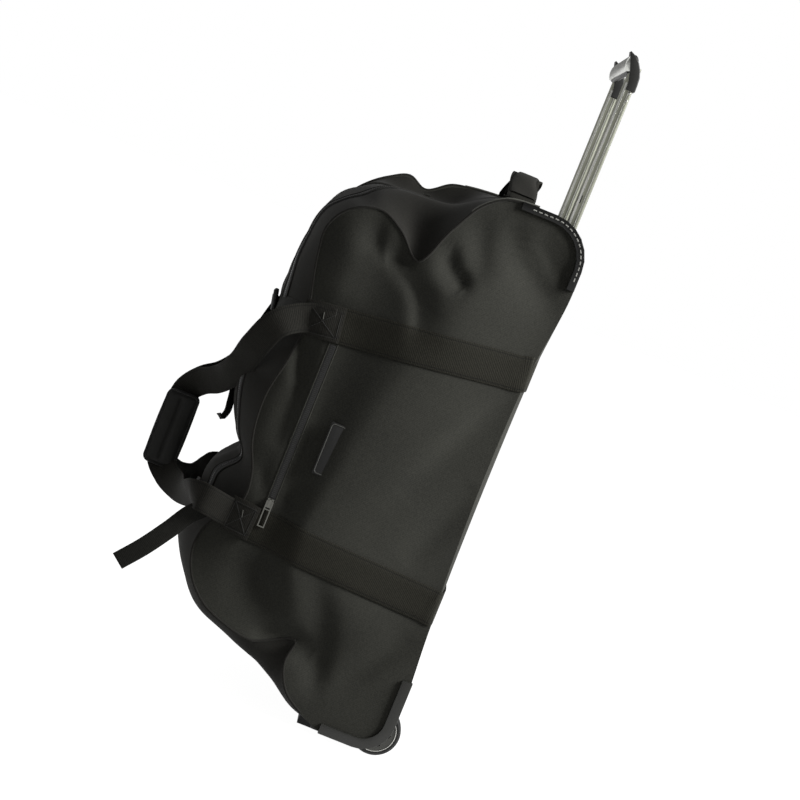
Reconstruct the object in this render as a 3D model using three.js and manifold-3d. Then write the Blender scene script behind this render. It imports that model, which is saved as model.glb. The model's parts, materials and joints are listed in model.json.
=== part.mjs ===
// Rolling duffel bag with a telescoping trolley handle, standing upright on its two wheels and
// its front foot, with the trolley pulled out.
//
// Millimetres. +Z is up along the bag's length. +X points out of the stiff back (the wheel side)
// and -X out of the lid. Y runs across the bag, and Y = 0 is its middle: left is -Y, right is +Y.
// The origin is the centre of the foot's flat ground face. Many places are given as a depth,
// which is the distance forward of the back, towards the lid.

import * as THREE from 'three';
import { mergeVertices } from 'three/addons/utils/BufferGeometryUtils.js';
import Module from 'manifold-3d';

const wasm = await Module();
wasm.setup();

// ---------- driving dimensions ----------

const gap = 0.3; // left between pieces that touch
const bagWidth = 380;
const bagDepth = 342; // back to piping
const bagTop = 782;
const wall = 2; // fabric with its foam and lining
const backSeamMargin = 2; // seam of the back below the start of the top corner's arc

// Corners of the side panel that are not the box of width, depth and height.
const bagFloor = 8; // underside of the boot
const bootDepth = 112;
const bottomKneeDepth = 190;
const bottomKneeHeight = 68;
const lowerFrontHeight = 100;
const topFrontDrop = 54; // the lid's top corner below the top
const topSagDepth = 190;
const topSagDrop = 37;
const topShoulderDepth = 128;
const heelRadius = 44;
const topBackRadius = 58;
const frontBulge = 36; // how far the middle of the lid stands out past the piping
const bulgeStart = 250; // depth where the bulge begins
const outlineStep = 36; // longest straight edge of the bag's outline

// Lid opening: its zip runs up one side, across the top end and down the other side.
const lidZipDepth = 225;
const lidHingeHeight = 215;
const lidBorder = 40; // side panel to the lid, with the zip between
const zipWidth = 8;

// Boot, guards and foot.
const bootWall = 3.5;
const bootHeight = 118;
const bootHeelReach = 50; // depth of the boot's upright part
const bootSoleRise = 14; // height of the sole's edge over the underside
const bootToe = 6; // seam with the bottom panel, behind the boot's front corner
const footDepth = 114; // depth of the foot's middle, which sets the origin
const footLength = 20;
const footMargin = 40; // side panel to the end of the foot
const footEmbed = 4; // how far the foot reaches up past the underside
const guardWidth = 13;
const guardStandOut = 4;
const guardWrap = 1.5; // how far a guard stands out round the edge
const guardReturn = 6; // how far it laps over the edge
const guardHeelReach = 30;
const guardToeMargin = 18; // end of the guard behind the boot's front corner
const guardToeHeight = 20;

// Wheels.
const wheelRadius = 35;
const wheelWidth = 24;
const wheelInset = 29; // side panel to the wheel's middle
const axleDepth = 20;
const axleRadius = 4;
const axleOverhang = 3; // axle past each wall of the well
const bearingRadius = 9;
const tyreThick = 6;
const tyreChamfer = 3;
const tyreShoulder = 4;
const hubInset = 1; // hub's face behind the tyre's
const hubHoles = 6;
const hubHoleCircle = 17.5;
const hubHoleRadius = 5;
const hubHoleDepth = 6;
const wellClearance = 4; // round the wheel
const wellSideClearance = 2; // beside the wheel
const wellWall = 3;

// Trolley.
const tubeSpacing = 240;
const tubeDepth = 30; // depth of the tubes' middle
const innerTubeX = 15;
const innerTubeY = 22;
const tubeWall = 1.3;
const tubeClearance = 0.5;
const grooveWidth = 3;
const grooveDepth = 0.7;
const gripRise = 205; // top of the bag to the underside of the elbows that take the tubes
const gripBarDepth = 36; // depth of the bar's middle, forward of the tubes
const gripBarRise = 26; // underside of the elbows to the bar's middle
const gripBarHalfX = 12;
const gripBarHalfZ = 17;
const gripElbow = 14; // the grip stands out past each tube's middle
const elbowHalfX = 9.8;
const socketDepth = 24; // how far each tube goes into its elbow
const insertEdge = 0.5; // back edge of the bright insert behind the bar's middle
const insertDrop = 9; // lower edge of the insert below the bar's middle
const insertProud = 0.8;
const buttonSize = { x: 6, y: 44, z: 12 };
const buttonOffset = 5.5; // behind the bar's middle
const buttonProud = 0.5;
const buttonPocket = 20;
const innerTubeLength = 430;
const outerTubeBottom = 122;
const studRise = 35; // lock stud over the top of the bag
const studOffset = 3.9; // forward of the tube's middle
const studHalfX = 2.2;
const studHalfZ = 5.5;
const pinLength = 3; // studs and rivets reach this far into the tube
const rivetDrop = 12; // rivet below the elbow
const rivetOffset = 4; // behind the tube's middle
const rivetRadius = 2;
const rivetProud = 0.1;
const cupDrop = 40; // top of the bag to the underside of the cup's floor
const cupFloor = 8;
const cupMargin = 30; // each tube's middle to the end of the cup
const cupDepth = 66;
const cupWall = 5;
const cupBackWall = 10;
const boardWall = 2.5;
const boardInset = 8; // edge of the board from the side panel
const boardTopMargin = 4; // top of the board below the start of the top corner's arc
const liningDepth = 46;
const bracketPlate = 3;
const bracketDrop = 100; // upper bracket below the top of the bag
const bracketRise = 26; // lower bracket over the end of the outer tubes
const bracketReach = 22; // end of a bracket past the tube's middle
const bracketHalfHeight = 16;
const blockHalfWidth = 14;
const blockHalfHeight = 12;
const blockBite = 2; // how far each block reaches into the bracket's plate

// Webbing.
const bandWidth = 50;
const bandThick = 1.5;
const upperBandBack = 570; // height of the upper band's middle at the back
const upperBandFront = 531;
const lowerBandBack = 225;
const lowerBandFront = 243;
const bandFrontDepth = 314; // where each band ends under the carry strap
const strapWidth = 40;
const strapThick = 2;
const sewnLength = 32; // carry strap sewn over each end of a band
const wrapLength = 118;
const wrapHeight = 284; // height of the wrap's middle
const wrapDepth = 450; // depth of the wrap's middle
const wrapWidth = 54;
const wrapThick = 34;
const channelMargin = 1; // round the two straps in the wrap
const compressionWidth = 25;
const compressionSpan = 0.98; // share of the width that a compression strap crosses
const compressionLift = 0.7; // keeps its flat stretches clear of the curved lid
const upperTailAside = 33.1; // tail from the buckle's middle
const upperTailBite = 0.6; // how far a tail's start sinks into its strap
const lowerTailBite = 0.8;
const buckleLength = 34;
const buckleWidth = 32;
const buckleThick = 9;

// Side pocket, badge, zip hardware, grab handle, piping and trim.
const pocketZipDepth = 272;
const pocketZipMargin = 3; // between each end of the pocket zip and the band beside it
const sliderLength = 13;
const sliderWidth = 9;
const sliderThick = 6;
const sliderBase = 2.2; // thickness of the slider under its bridge
const bridgeWidth = 3;
const bridgeBite = 0.2; // how far the bridge reaches into the slider's body
const bridgeInset = 1; // end of the bridge from the slider's
const bridgeWall = 1.2;
const bridgeFoot = 1.4; // length of each foot of the bridge
const pullLength = 38;
const pullWidth = 10;
const pullThick = 1.6;
const pullBarShare = 0.35; // place of the pull's cross bar along its length
const pullDrop = 3.1; // pull's end inside the slider's end
const zipProud = 0.8;
const sliderMargin = 1; // slider from the end of its zip, or from the middle
const badgeDepth = 223;
const badgeHeight = 375;
const badgeLength = 75;
const badgeWidth = 24;
const badgeThick = 1;
const grabDepth = 109; // depth of the grab handle's middle
const grabWidth = 42;
const grabRise = 36;
const grabHalfSpan = 62;
const grabFoot = 26; // length sewn flat at each end
const pipingSize = 3.5;
const pipingTopMargin = 18; // piping starts forward of the top's shoulder by this
const pipingToe = 4; // and ends this far past the boot
const pipingRise = 6;
const trimWidth = 9;
const trimThick = 4;
const trimWrap = 1.6; // how far the trim stands out round the edge
const trimReturn = 7; // how far it laps over the edge
const trimTopMargin = 22; // end of the trim behind the top's shoulder
const trimBackMargin = 28; // end of the trim below the start of the top corner's arc

// ---------- worked-out places ----------

const half = bagWidth / 2;
const xAt = (depth) => footDepth - depth;
const wheelMiddle = half - wheelInset;
const tubeMiddle = tubeSpacing / 2;
const topFrontHeight = bagTop - topFrontDrop;
const topSagHeight = bagTop - topSagDrop;
const arcStart = bagTop - topBackRadius; // height where the back's top corner begins
const lidHalfWidth = half - lidBorder;
const footHalfWidth = half - footMargin;
const bootSeamDepth = bootDepth - bootToe;
const hubRadius = wheelRadius - tyreThick;
const wellRadius = wheelRadius + wellClearance;
const gripBottom = bagTop + gripRise;
const gripBarHeight = gripBottom + gripBarRise;
const cupFloorHeight = bagTop - cupDrop;
const cupHalfWidth = tubeMiddle + cupMargin;
const topSlope = Math.atan2(topSagHeight - topFrontHeight, bagDepth - topSagDepth);
const topHeightAt = (depth) => topSagHeight - (depth - topSagDepth) * Math.tan(topSlope);
const far = 2000; // larger than the bag, for cutting boxes

// Height of a girth band's middle where it crosses the side panel at a given depth.
function bandHeightAt(backHeight, frontHeight, depth) {
  return backHeight + (frontHeight - backHeight) * depth / bandFrontDepth;
}
const slack = bandWidth / 2 + pocketZipMargin;
const pocketZipBottom = bandHeightAt(lowerBandBack, lowerBandFront, pocketZipDepth) + slack;
const pocketZipTop = bandHeightAt(upperBandBack, upperBandFront, pocketZipDepth) - slack;

// ---------- materials ----------

function paint(color, roughness, metalness = 0) {
  return new THREE.MeshStandardMaterial({ color, roughness, metalness });
}
const fabric = paint('#2b2b28', 0.9);
const lining = paint('#1f1f1e', 0.95);
const webbing = paint('#30302c', 0.85);
const padding = paint('#1d1d1b', 0.9);
const plastic = paint('#242423', 0.5);
const trimPlastic = paint('#1a1a1a', 0.4);
const board = paint('#141414', 0.7);
const aluminium = paint('#8a8b80', 0.35, 0.9);
const silver = paint('#c9cac4', 0.25, 0.6);
const rubber = paint('#161615', 0.8);
const hubPlastic = paint('#5a5a56', 0.45);
const steel = paint('#a9a9a9', 0.3, 1);
const gunmetal = paint('#4a4a48', 0.35, 0.9);
const tape = paint('#1b1b1a', 0.8);

// ---------- solids ----------

function toSolid(geometry) {
  const bare = geometry.clone();
  bare.deleteAttribute('normal');
  bare.deleteAttribute('uv');
  const merged = mergeVertices(bare, 1e-4);
  return new wasm.Manifold(new wasm.Mesh({
    numProp: 3,
    vertProperties: new Float32Array(merged.attributes.position.array),
    triVerts: new Uint32Array(merged.index.array),
  }));
}

function toGeometry(solid) {
  const mesh = solid.getMesh();
  const geometry = new THREE.BufferGeometry();
  geometry.setAttribute('position', new THREE.BufferAttribute(mesh.vertProperties, 3));
  geometry.setIndex(new THREE.BufferAttribute(mesh.triVerts, 1));
  geometry.computeVertexNormals();
  return geometry;
}

function box(x0, x1, y0, y1, z0, z1) {
  const geometry = new THREE.BoxGeometry(x1 - x0, y1 - y0, z1 - z0);
  return toSolid(geometry.translate((x0 + x1) / 2, (y0 + y1) / 2, (z0 + z1) / 2));
}

// A cylinder along Y.
function rollY(x, z, radius, y0, y1, sides = 32) {
  const geometry = new THREE.CylinderGeometry(radius, radius, y1 - y0, sides);
  return toSolid(geometry.translate(x, (y0 + y1) / 2, z));
}

// An outline in X and Z, made solid from y0 to y1.
function slabY(outline, y0, y1) {
  const shape = new THREE.Shape(outline.map((p) => new THREE.Vector2(p.x, p.z)));
  const geometry = new THREE.ExtrudeGeometry(shape, { depth: y1 - y0, bevelEnabled: false });
  return toSolid(geometry.rotateX(Math.PI / 2).translate(0, y1, 0));
}

// An outline in X and Y, made solid from z0 to z1. It may have a hole.
function postZ(outline, z0, z1, hole = null) {
  const shape = new THREE.Shape(outline.map(([x, y]) => new THREE.Vector2(x, y)));
  if (hole) shape.holes.push(new THREE.Path(hole.map(([x, y]) => new THREE.Vector2(x, y))));
  const geometry = new THREE.ExtrudeGeometry(shape, { depth: z1 - z0, bevelEnabled: false });
  return toSolid(geometry.translate(0, 0, z0));
}

function signedVolume(positions, index) {
  const corner = (i) => new THREE.Vector3().fromArray(positions, 3 * i);
  let volume = 0;
  for (let i = 0; i < index.length; i += 3) {
    volume += corner(index[i]).dot(corner(index[i + 1]).cross(corner(index[i + 2])));
  }
  return volume;
}

// A closed solid through rings of points that match one to one. Its ends are flat in X and Z
// when the rings have more than four points.
function loft(rings) {
  const count = rings[0].length;
  const positions = rings.flatMap((ring) => ring.flatMap((p) => [p.x, p.y, p.z]));
  const index = [];
  for (let ring = 0; ring + 1 < rings.length; ring += 1) {
    for (let i = 0; i < count; i += 1) {
      const a = ring * count + i;
      const b = ring * count + ((i + 1) % count);
      index.push(a, b, b + count, a, b + count, a + count);
    }
  }
  const flat = rings[0].map((p) => new THREE.Vector2(p.x, p.z));
  const cap = count === 4 ? [[0, 1, 2], [0, 2, 3]] : THREE.ShapeUtils.triangulateShape(flat, []);
  const wanted = THREE.ShapeUtils.isClockWise(flat) && count > 4;
  const last = (rings.length - 1) * count;
  for (const [a, b, c] of cap) {
    const near = wanted ? [a, b, c] : [a, c, b];
    index.push(...near, last + near[0], last + near[2], last + near[1]);
  }
  if (signedVolume(positions, index) < 0) index.reverse();
  const geometry = new THREE.BufferGeometry();
  geometry.setAttribute('position', new THREE.Float32BufferAttribute(positions, 3));
  geometry.setIndex(index);
  return toSolid(geometry);
}

// A strap along a path. `across` gives the direction of its width at each point of the path.
function ribbon(points, across, width, thick) {
  const rings = points.map((point, i) => {
    const before = points[Math.max(i - 1, 0)];
    const after = points[Math.min(i + 1, points.length - 1)];
    const along = after.clone().sub(before).normalize();
    const side = across(along, i).normalize();
    const up = along.clone().cross(side).normalize();
    const at = (u, v) => point.clone().addScaledVector(side, u * width / 2)
      .addScaledVector(up, v * thick / 2);
    return [at(-1, -1), at(1, -1), at(1, 1), at(-1, 1)];
  });
  return loft(rings);
}

const mirrorY = (solid) => solid.mirror([0, 1, 0]);
const join = (...solids) => solids.reduce((whole, solid) => whole.add(solid));

// ---------- the bag's outline ----------

// Corners with an arc of the given radius at each, as points in X and Z.
function roundedOutline(corners) {
  const points = [];
  corners.forEach(([depth, height, radius], i) => {
    const place = ([d, h]) => new THREE.Vector2(xAt(d), h);
    const corner = place([depth, height]);
    const toBefore = place(corners.at(i - 1)).sub(corner);
    const toAfter = place(corners[(i + 1) % corners.length]).sub(corner);
    const shortest = Math.min(toBefore.length(), toAfter.length());
    toBefore.normalize();
    toAfter.normalize();
    const opening = Math.acos(toBefore.dot(toAfter));
    const reach = Math.min(radius / Math.tan(opening / 2), 0.48 * shortest);
    const arcRadius = reach * Math.tan(opening / 2);
    const inward = toBefore.clone().add(toAfter).normalize();
    const centre = corner.clone().addScaledVector(inward, arcRadius / Math.sin(opening / 2));
    const start = corner.clone().addScaledVector(toBefore, reach).sub(centre);
    const turn = Math.sign(start.cross(corner.clone().addScaledVector(toAfter, reach).sub(centre)));
    const steps = Math.max(2, Math.round((Math.PI - opening) / 0.26));
    for (let step = 0; step <= steps; step += 1) {
      const angle = turn * (Math.PI - opening) * step / steps;
      const point = start.clone().rotateAround(new THREE.Vector2(), angle).add(centre);
      points.push({ x: point.x, z: point.y });
    }
  });
  return points;
}

function outwardNormals(outline) {
  const clockwise = THREE.ShapeUtils.isClockWise(outline.map((p) => new THREE.Vector2(p.x, p.z)));
  const sign = clockwise ? -1 : 1;
  return outline.map((p, i) => {
    const before = outline.at(i - 1);
    const after = outline[(i + 1) % outline.length];
    const first = new THREE.Vector2(p.z - before.z, before.x - p.x).normalize();
    const second = new THREE.Vector2(after.z - p.z, p.x - after.x).normalize();
    const mean = first.clone().add(second).normalize();
    return mean.multiplyScalar(sign / mean.dot(first));
  });
}

const offset = (outline, distance) => {
  const normals = outwardNormals(outline);
  return outline.map((p, i) => ({
    x: p.x + normals[i].x * distance,
    z: p.z + normals[i].y * distance,
  }));
};

// The same outline with its long straight stretches split up.
function splitLongEdges(outline, longest) {
  return outline.flatMap((p, i) => {
    const next = outline[(i + 1) % outline.length];
    const pieces = Math.ceil(Math.hypot(next.x - p.x, next.z - p.z) / longest);
    return Array.from({ length: pieces }, (_, k) => ({
      x: p.x + (next.x - p.x) * k / pieces,
      z: p.z + (next.z - p.z) * k / pieces,
    }));
  });
}

const sideOutline = splitLongEdges(roundedOutline([
  [0, bagFloor, heelRadius],
  [bootDepth, bagFloor, 25],
  [bottomKneeDepth, bottomKneeHeight, 80],
  [bagDepth, lowerFrontHeight, 80],
  [bagDepth, topFrontHeight, 65],
  [topSagDepth, topSagHeight, 50],
  [topShoulderDepth, bagTop, 30],
  [0, bagTop, topBackRadius],
]), outlineStep);

// How far a point of the outline stands out at the middle of the bag.
function bulgeAt(x) {
  const depth = footDepth - x;
  const share = THREE.MathUtils.clamp((depth - bulgeStart) / (bagDepth - bulgeStart), 0, 1);
  return frontBulge * share * share * (3 - 2 * share);
}

const crossSteps = 10;
const crossShare = (step) => -1 + 2 * step / crossSteps;
const crown = (y) => 1 - (y / half) ** 2;

// The whole bag as one solid, with its skin moved in by `inset`.
function bagSolid(inset) {
  const outline = offset(sideOutline, -inset);
  const normals = outwardNormals(outline);
  const rings = [];
  for (let step = 0; step <= crossSteps; step += 1) {
    const y = crossShare(step) * (half - inset);
    rings.push(outline.map((p, i) => {
      const out = bulgeAt(p.x) * crown(y);
      return new THREE.Vector3(p.x + normals[i].x * out, y, p.z + normals[i].y * out);
    }));
  }
  return loft(rings);
}

// ---------- parts ----------

const model = new THREE.Group();
const sides = [['left', -1], ['right', 1]];

function add(name, shape, material, parent = model) {
  const geometry = shape.isBufferGeometry ? shape : toGeometry(shape);
  const mesh = new THREE.Mesh(geometry, material);
  mesh.name = name;
  parent.add(mesh);
  return mesh;
}

// Fabric panels: the strip that runs round the bag is cut into back, top end, lid, zip, lid
// borders and bottom end, and each side panel closes it.
function addPanels() {
  const outer = bagSolid(0);
  const shell = outer.subtract(bagSolid(wall));
  const inside = half - wall - gap;
  const strip = shell.intersect(box(-far, far, -inside, inside, -far, far));
  const opening = (halfWidth, depth, low) => box(-far, xAt(depth), -halfWidth, halfWidth, low, far);

  const backTop = arcStart - backSeamMargin;
  const backPanel = strip.intersect(box(xAt(topBackRadius), far, -far, far, bootHeight + gap, backTop));
  add('back_panel', backPanel, fabric);

  const cup = box(xAt(cupDepth + gap), far, -cupHalfWidth - gap, cupHalfWidth + gap,
    cupFloorHeight - gap, far);
  const topEnd = strip.intersect(box(xAt(lidZipDepth), far, -far, far, backTop + gap, far));
  add('top_panel', topEnd.subtract(cup), fabric);

  const lidRegion = opening(lidHalfWidth, lidZipDepth + zipWidth, lidHingeHeight);
  add('lid_panel', strip.intersect(lidRegion), fabric);

  const zipOuter = opening(lidHalfWidth + zipWidth, lidZipDepth + gap, lidHingeHeight);
  const lidGap = opening(lidHalfWidth + gap, lidZipDepth + zipWidth - gap, -far);
  add('main_zip_tape', strip.intersect(zipOuter).subtract(lidGap), tape);

  const borderStart = lidHalfWidth + zipWidth + gap;
  const border = box(-far, xAt(lidZipDepth + gap), borderStart, far, lidHingeHeight, far);
  add('lid_border_right', strip.intersect(border), fabric);
  add('lid_border_left', mirrorY(strip.intersect(border)), fabric);

  const bottom = box(-far, xAt(bootSeamDepth), -far, far, -far, lidHingeHeight - gap);
  add('bottom_panel', strip.intersect(bottom), fabric);

  const slotX = xAt(pocketZipDepth);
  const slotHalf = zipWidth / 2 + gap;
  const slot = box(slotX - slotHalf, slotX + slotHalf, -far, 0, pocketZipBottom - gap,
    pocketZipTop + gap);
  const sidePanel = slabY(sideOutline, half - wall, half);
  add('side_panel_right', sidePanel, fabric);
  add('side_panel_left', mirrorY(sidePanel).subtract(slot), fabric);
  return outer;
}

// The stiff back inside the fabric, and the lining that hides the tubes.
function addStiffBack() {
  const boardFront = xAt(wall + gap + boardWall);
  const boardHalf = half - wall - boardInset;
  add('base_board', box(boardFront, xAt(wall + gap), -boardHalf, boardHalf, bootHeight + gap,
    arcStart - boardTopMargin), board);
  const liningX = xAt(liningDepth);
  const liningHalf = half - wall - gap;
  add('tube_lining', box(liningX - wall / 2, liningX + wall / 2, -liningHalf, liningHalf,
    bootHeight + gap, cupFloorHeight - cupFloor), lining);
}

// Boot: a moulded heel across the bag, with a well round each wheel.
function addBoot(outer) {
  const inside = half - wall - gap;
  const shell = outer.subtract(slabY(offset(sideOutline, -bootWall), -far, far));
  const heel = box(xAt(bootHeelReach), far, -inside, inside, -far, bootHeight);
  const sole = box(xAt(bootSeamDepth) + gap, far, -inside, inside, -far, bagFloor + bootSoleRise);
  const axleX = xAt(axleDepth);
  const axleZ = wheelRadius;
  const wellHalf = wheelWidth / 2 + wellSideClearance;
  let boot = shell.intersect(heel.add(sole));
  for (const [, side] of sides) {
    const middle = side * wheelMiddle;
    const housing = rollY(axleX, axleZ, wellRadius + wellWall, middle - wellHalf - wellWall,
      middle + wellHalf + wellWall, 40).intersect(slabY(offset(sideOutline, -0.01), -far, far));
    boot = boot.add(housing);
  }
  for (const [, side] of sides) {
    const middle = side * wheelMiddle;
    boot = boot.subtract(rollY(axleX, axleZ, wellRadius, middle - wellHalf, middle + wellHalf, 40));
    boot = boot.subtract(rollY(axleX, axleZ, axleRadius + gap, middle - wellHalf - 2 * wellWall,
      middle + wellHalf + 2 * wellWall, 16));
  }
  add('boot', boot, plastic);

  const foot = box(-footLength / 2, footLength / 2, -footHalfWidth, footHalfWidth, 0,
    bagFloor + footEmbed);
  add('front_foot', foot.subtract(outer.translate([0, 0, -gap])), rubber);
}

// Raised L-shaped guards on the boot's two outer corners.
function addGuards() {
  const guardTop = bagFloor + guardToeHeight;
  const outside = offset(sideOutline, gap + guardWrap);
  const rim = slabY(outside, half + gap, half + gap + guardStandOut)
    .subtract(slabY(offset(sideOutline, -guardWidth), 0, far));
  const lift = slabY(outside, half - guardReturn, half + gap + guardStandOut)
    .subtract(slabY(offset(sideOutline, gap), 0, far));
  const reach = box(xAt(guardHeelReach), far, 0, far, -far, bootHeight)
    .add(box(xAt(bootDepth - guardToeMargin), far, 0, far, -far, guardTop));
  const guard = rim.add(lift).intersect(reach);
  add('corner_guard_right', guard, plastic);
  add('corner_guard_left', mirrorY(guard), plastic);
}

function addWheels() {
  for (const [name, side] of sides) {
    const wheel = new THREE.Group();
    wheel.position.set(xAt(axleDepth), side * wheelMiddle, wheelRadius);
    model.add(wheel);
    const w = wheelWidth / 2;
    const tread = new THREE.LatheGeometry([
      [hubRadius + gap, -w], [wheelRadius - tyreChamfer, -w], [wheelRadius, -w + tyreShoulder],
      [wheelRadius, w - tyreShoulder], [wheelRadius - tyreChamfer, w], [hubRadius + gap, w],
      [hubRadius + gap, -w],
    ].map(([r, y]) => new THREE.Vector2(r, y)), 48);
    add(`wheel_tyre_${name}`, toSolid(tread), rubber, wheel);

    const hubHalf = w - hubInset;
    let hub = rollY(0, 0, hubRadius, -hubHalf, hubHalf, 40);
    hub = hub.subtract(rollY(0, 0, bearingRadius + gap, -far, far, 24));
    for (let i = 0; i < hubHoles; i += 1) {
      const angle = i * 2 * Math.PI / hubHoles;
      const x = hubHoleCircle * Math.cos(angle);
      const z = hubHoleCircle * Math.sin(angle);
      hub = hub.subtract(rollY(x, z, hubHoleRadius, -w, -w + hubHoleDepth, 12));
      hub = hub.subtract(rollY(x, z, hubHoleRadius, w - hubHoleDepth, w, 12));
    }
    add(`wheel_hub_${name}`, hub, hubPlastic, wheel);

    let bearing = rollY(0, 0, bearingRadius, -hubHalf, hubHalf, 24);
    bearing = bearing.subtract(rollY(0, 0, axleRadius + gap, -w, w, 24));
    add(`wheel_bearing_${name}`, bearing, steel, wheel);

    const reach = w + wellSideClearance + wellWall + axleOverhang;
    add(`wheel_axle_${name}`, rollY(0, 0, axleRadius, -reach, reach, 20), steel, wheel);
  }
}

// A tube's section in X and Y, with a groove down each of its two narrow faces.
function tubeSection(sizeX, sizeY, groove, radius = 3) {
  const x = sizeX / 2;
  const y = sizeY / 2;
  const points = [];
  const corner = (cx, cy, from) => {
    for (let i = 0; i <= 3; i += 1) {
      const a = from + i * Math.PI / 6;
      points.push([cx + radius * Math.cos(a), cy + radius * Math.sin(a)]);
    }
  };
  const notch = (side) => {
    if (!groove) return;
    const g = grooveWidth / 2;
    points.push([side * g, side * y], [side * g, side * (y - groove)],
      [-side * g, side * (y - groove)], [-side * g, side * y]);
  };
  corner(x - radius, y - radius, 0);
  notch(1);
  corner(-x + radius, y - radius, Math.PI / 2);
  corner(-x + radius, -y + radius, Math.PI);
  notch(-1);
  corner(x - radius, -y + radius, 3 * Math.PI / 2);
  return points;
}

function addTubes() {
  const boreX = innerTubeX + 2 * tubeClearance;
  const boreY = innerTubeY + 2 * tubeClearance;
  const outerTubeTop = cupFloorHeight - gap;
  const studHeight = bagTop + studRise;
  const studX = -studOffset;
  const rivetHeight = gripBottom - rivetDrop;
  // An upright pin with flat sides, from one Y to another, grown all round by `grow`.
  const slotPin = (x, z, grow, from, to) => box(x - studHalfX - grow, x + studHalfX + grow,
    Math.min(from, to), Math.max(from, to), z - studHalfZ - grow, z + studHalfZ + grow);
  const innerTop = gripBottom + socketDepth;
  for (const [name, side] of sides) {
    const column = new THREE.Group();
    column.position.set(xAt(tubeDepth), side * tubeMiddle, 0);
    model.add(column);
    const outerTube = postZ(tubeSection(boreX + 2 * tubeWall, boreY + 2 * tubeWall, 0, 4),
      outerTubeBottom, outerTubeTop, tubeSection(boreX, boreY, 0));
    add(`outer_tube_${name}`, outerTube, aluminium, column);

    const face = side * innerTubeY / 2;
    const through = (x, z, radius) => rollY(x, z, radius, Math.min(0, 2 * face),
      Math.max(0, 2 * face), 12);
    const boreInY = innerTubeY - 2 * (tubeWall + grooveDepth);
    const bore = tubeSection(innerTubeX - 2 * tubeWall, boreInY, 0, 2);
    let innerTube = postZ(tubeSection(innerTubeX, innerTubeY, grooveDepth),
      innerTop - innerTubeLength, innerTop, bore);
    innerTube = innerTube.subtract(slotPin(studX, studHeight, gap, 0, 2 * face));
    innerTube = innerTube.subtract(through(rivetOffset, rivetHeight, rivetRadius + gap));
    add(`inner_tube_${name}`, innerTube, aluminium, column);

    const stud = slotPin(studX, studHeight, 0, face - side * pinLength, face);
    add(`tube_stud_${name}`, stud, trimPlastic, column);
    const rivetEnds = [face + side * rivetProud, face - side * pinLength];
    const rivet = rollY(rivetOffset, rivetHeight, rivetRadius, Math.min(...rivetEnds),
      Math.max(...rivetEnds), 12);
    add(`grip_rivet_${name}`, rivet, steel, column);
  }
}

// Two brackets that hold the outer tubes to the board.
function addBrackets() {
  const boardFront = wall + gap + boardWall;
  const tubeBack = tubeDepth - innerTubeX / 2 - tubeClearance - tubeWall - gap;
  const plateBack = boardFront + gap;
  const plateHalf = tubeMiddle + bracketReach;
  const heights = { upper: bagTop - bracketDrop, lower: outerTubeBottom + bracketRise };
  for (const [name, z] of Object.entries(heights)) {
    let bracket = box(xAt(plateBack + bracketPlate), xAt(plateBack), -plateHalf, plateHalf,
      z - bracketHalfHeight, z + bracketHalfHeight);
    for (const [, side] of sides) {
      const y = side * tubeMiddle;
      bracket = bracket.add(box(xAt(tubeBack), xAt(plateBack + blockBite), y - blockHalfWidth,
        y + blockHalfWidth, z - blockHalfHeight, z + blockHalfHeight));
    }
    add(`frame_bracket_${name}`, bracket, plastic);
  }
}

function addCup(outer) {
  const floorTop = cupFloorHeight + cupFloor;
  let cup = outer.intersect(box(xAt(cupDepth), far, -cupHalfWidth, cupHalfWidth, cupFloorHeight, far));
  const hollowHalf = cupHalfWidth - cupWall;
  cup = cup.subtract(box(xAt(cupDepth - cupWall), xAt(cupBackWall), -hollowHalf, hollowHalf,
    floorTop, far));
  for (const [, side] of sides) {
    const x = xAt(tubeDepth);
    const y = side * tubeMiddle;
    const reachX = innerTubeX / 2 + tubeClearance;
    const reachY = innerTubeY / 2 + tubeClearance;
    cup = cup.subtract(box(x - reachX, x + reachX, y - reachY, y + reachY, 0, far));
  }
  add('handle_cup', cup, plastic);
}

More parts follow.
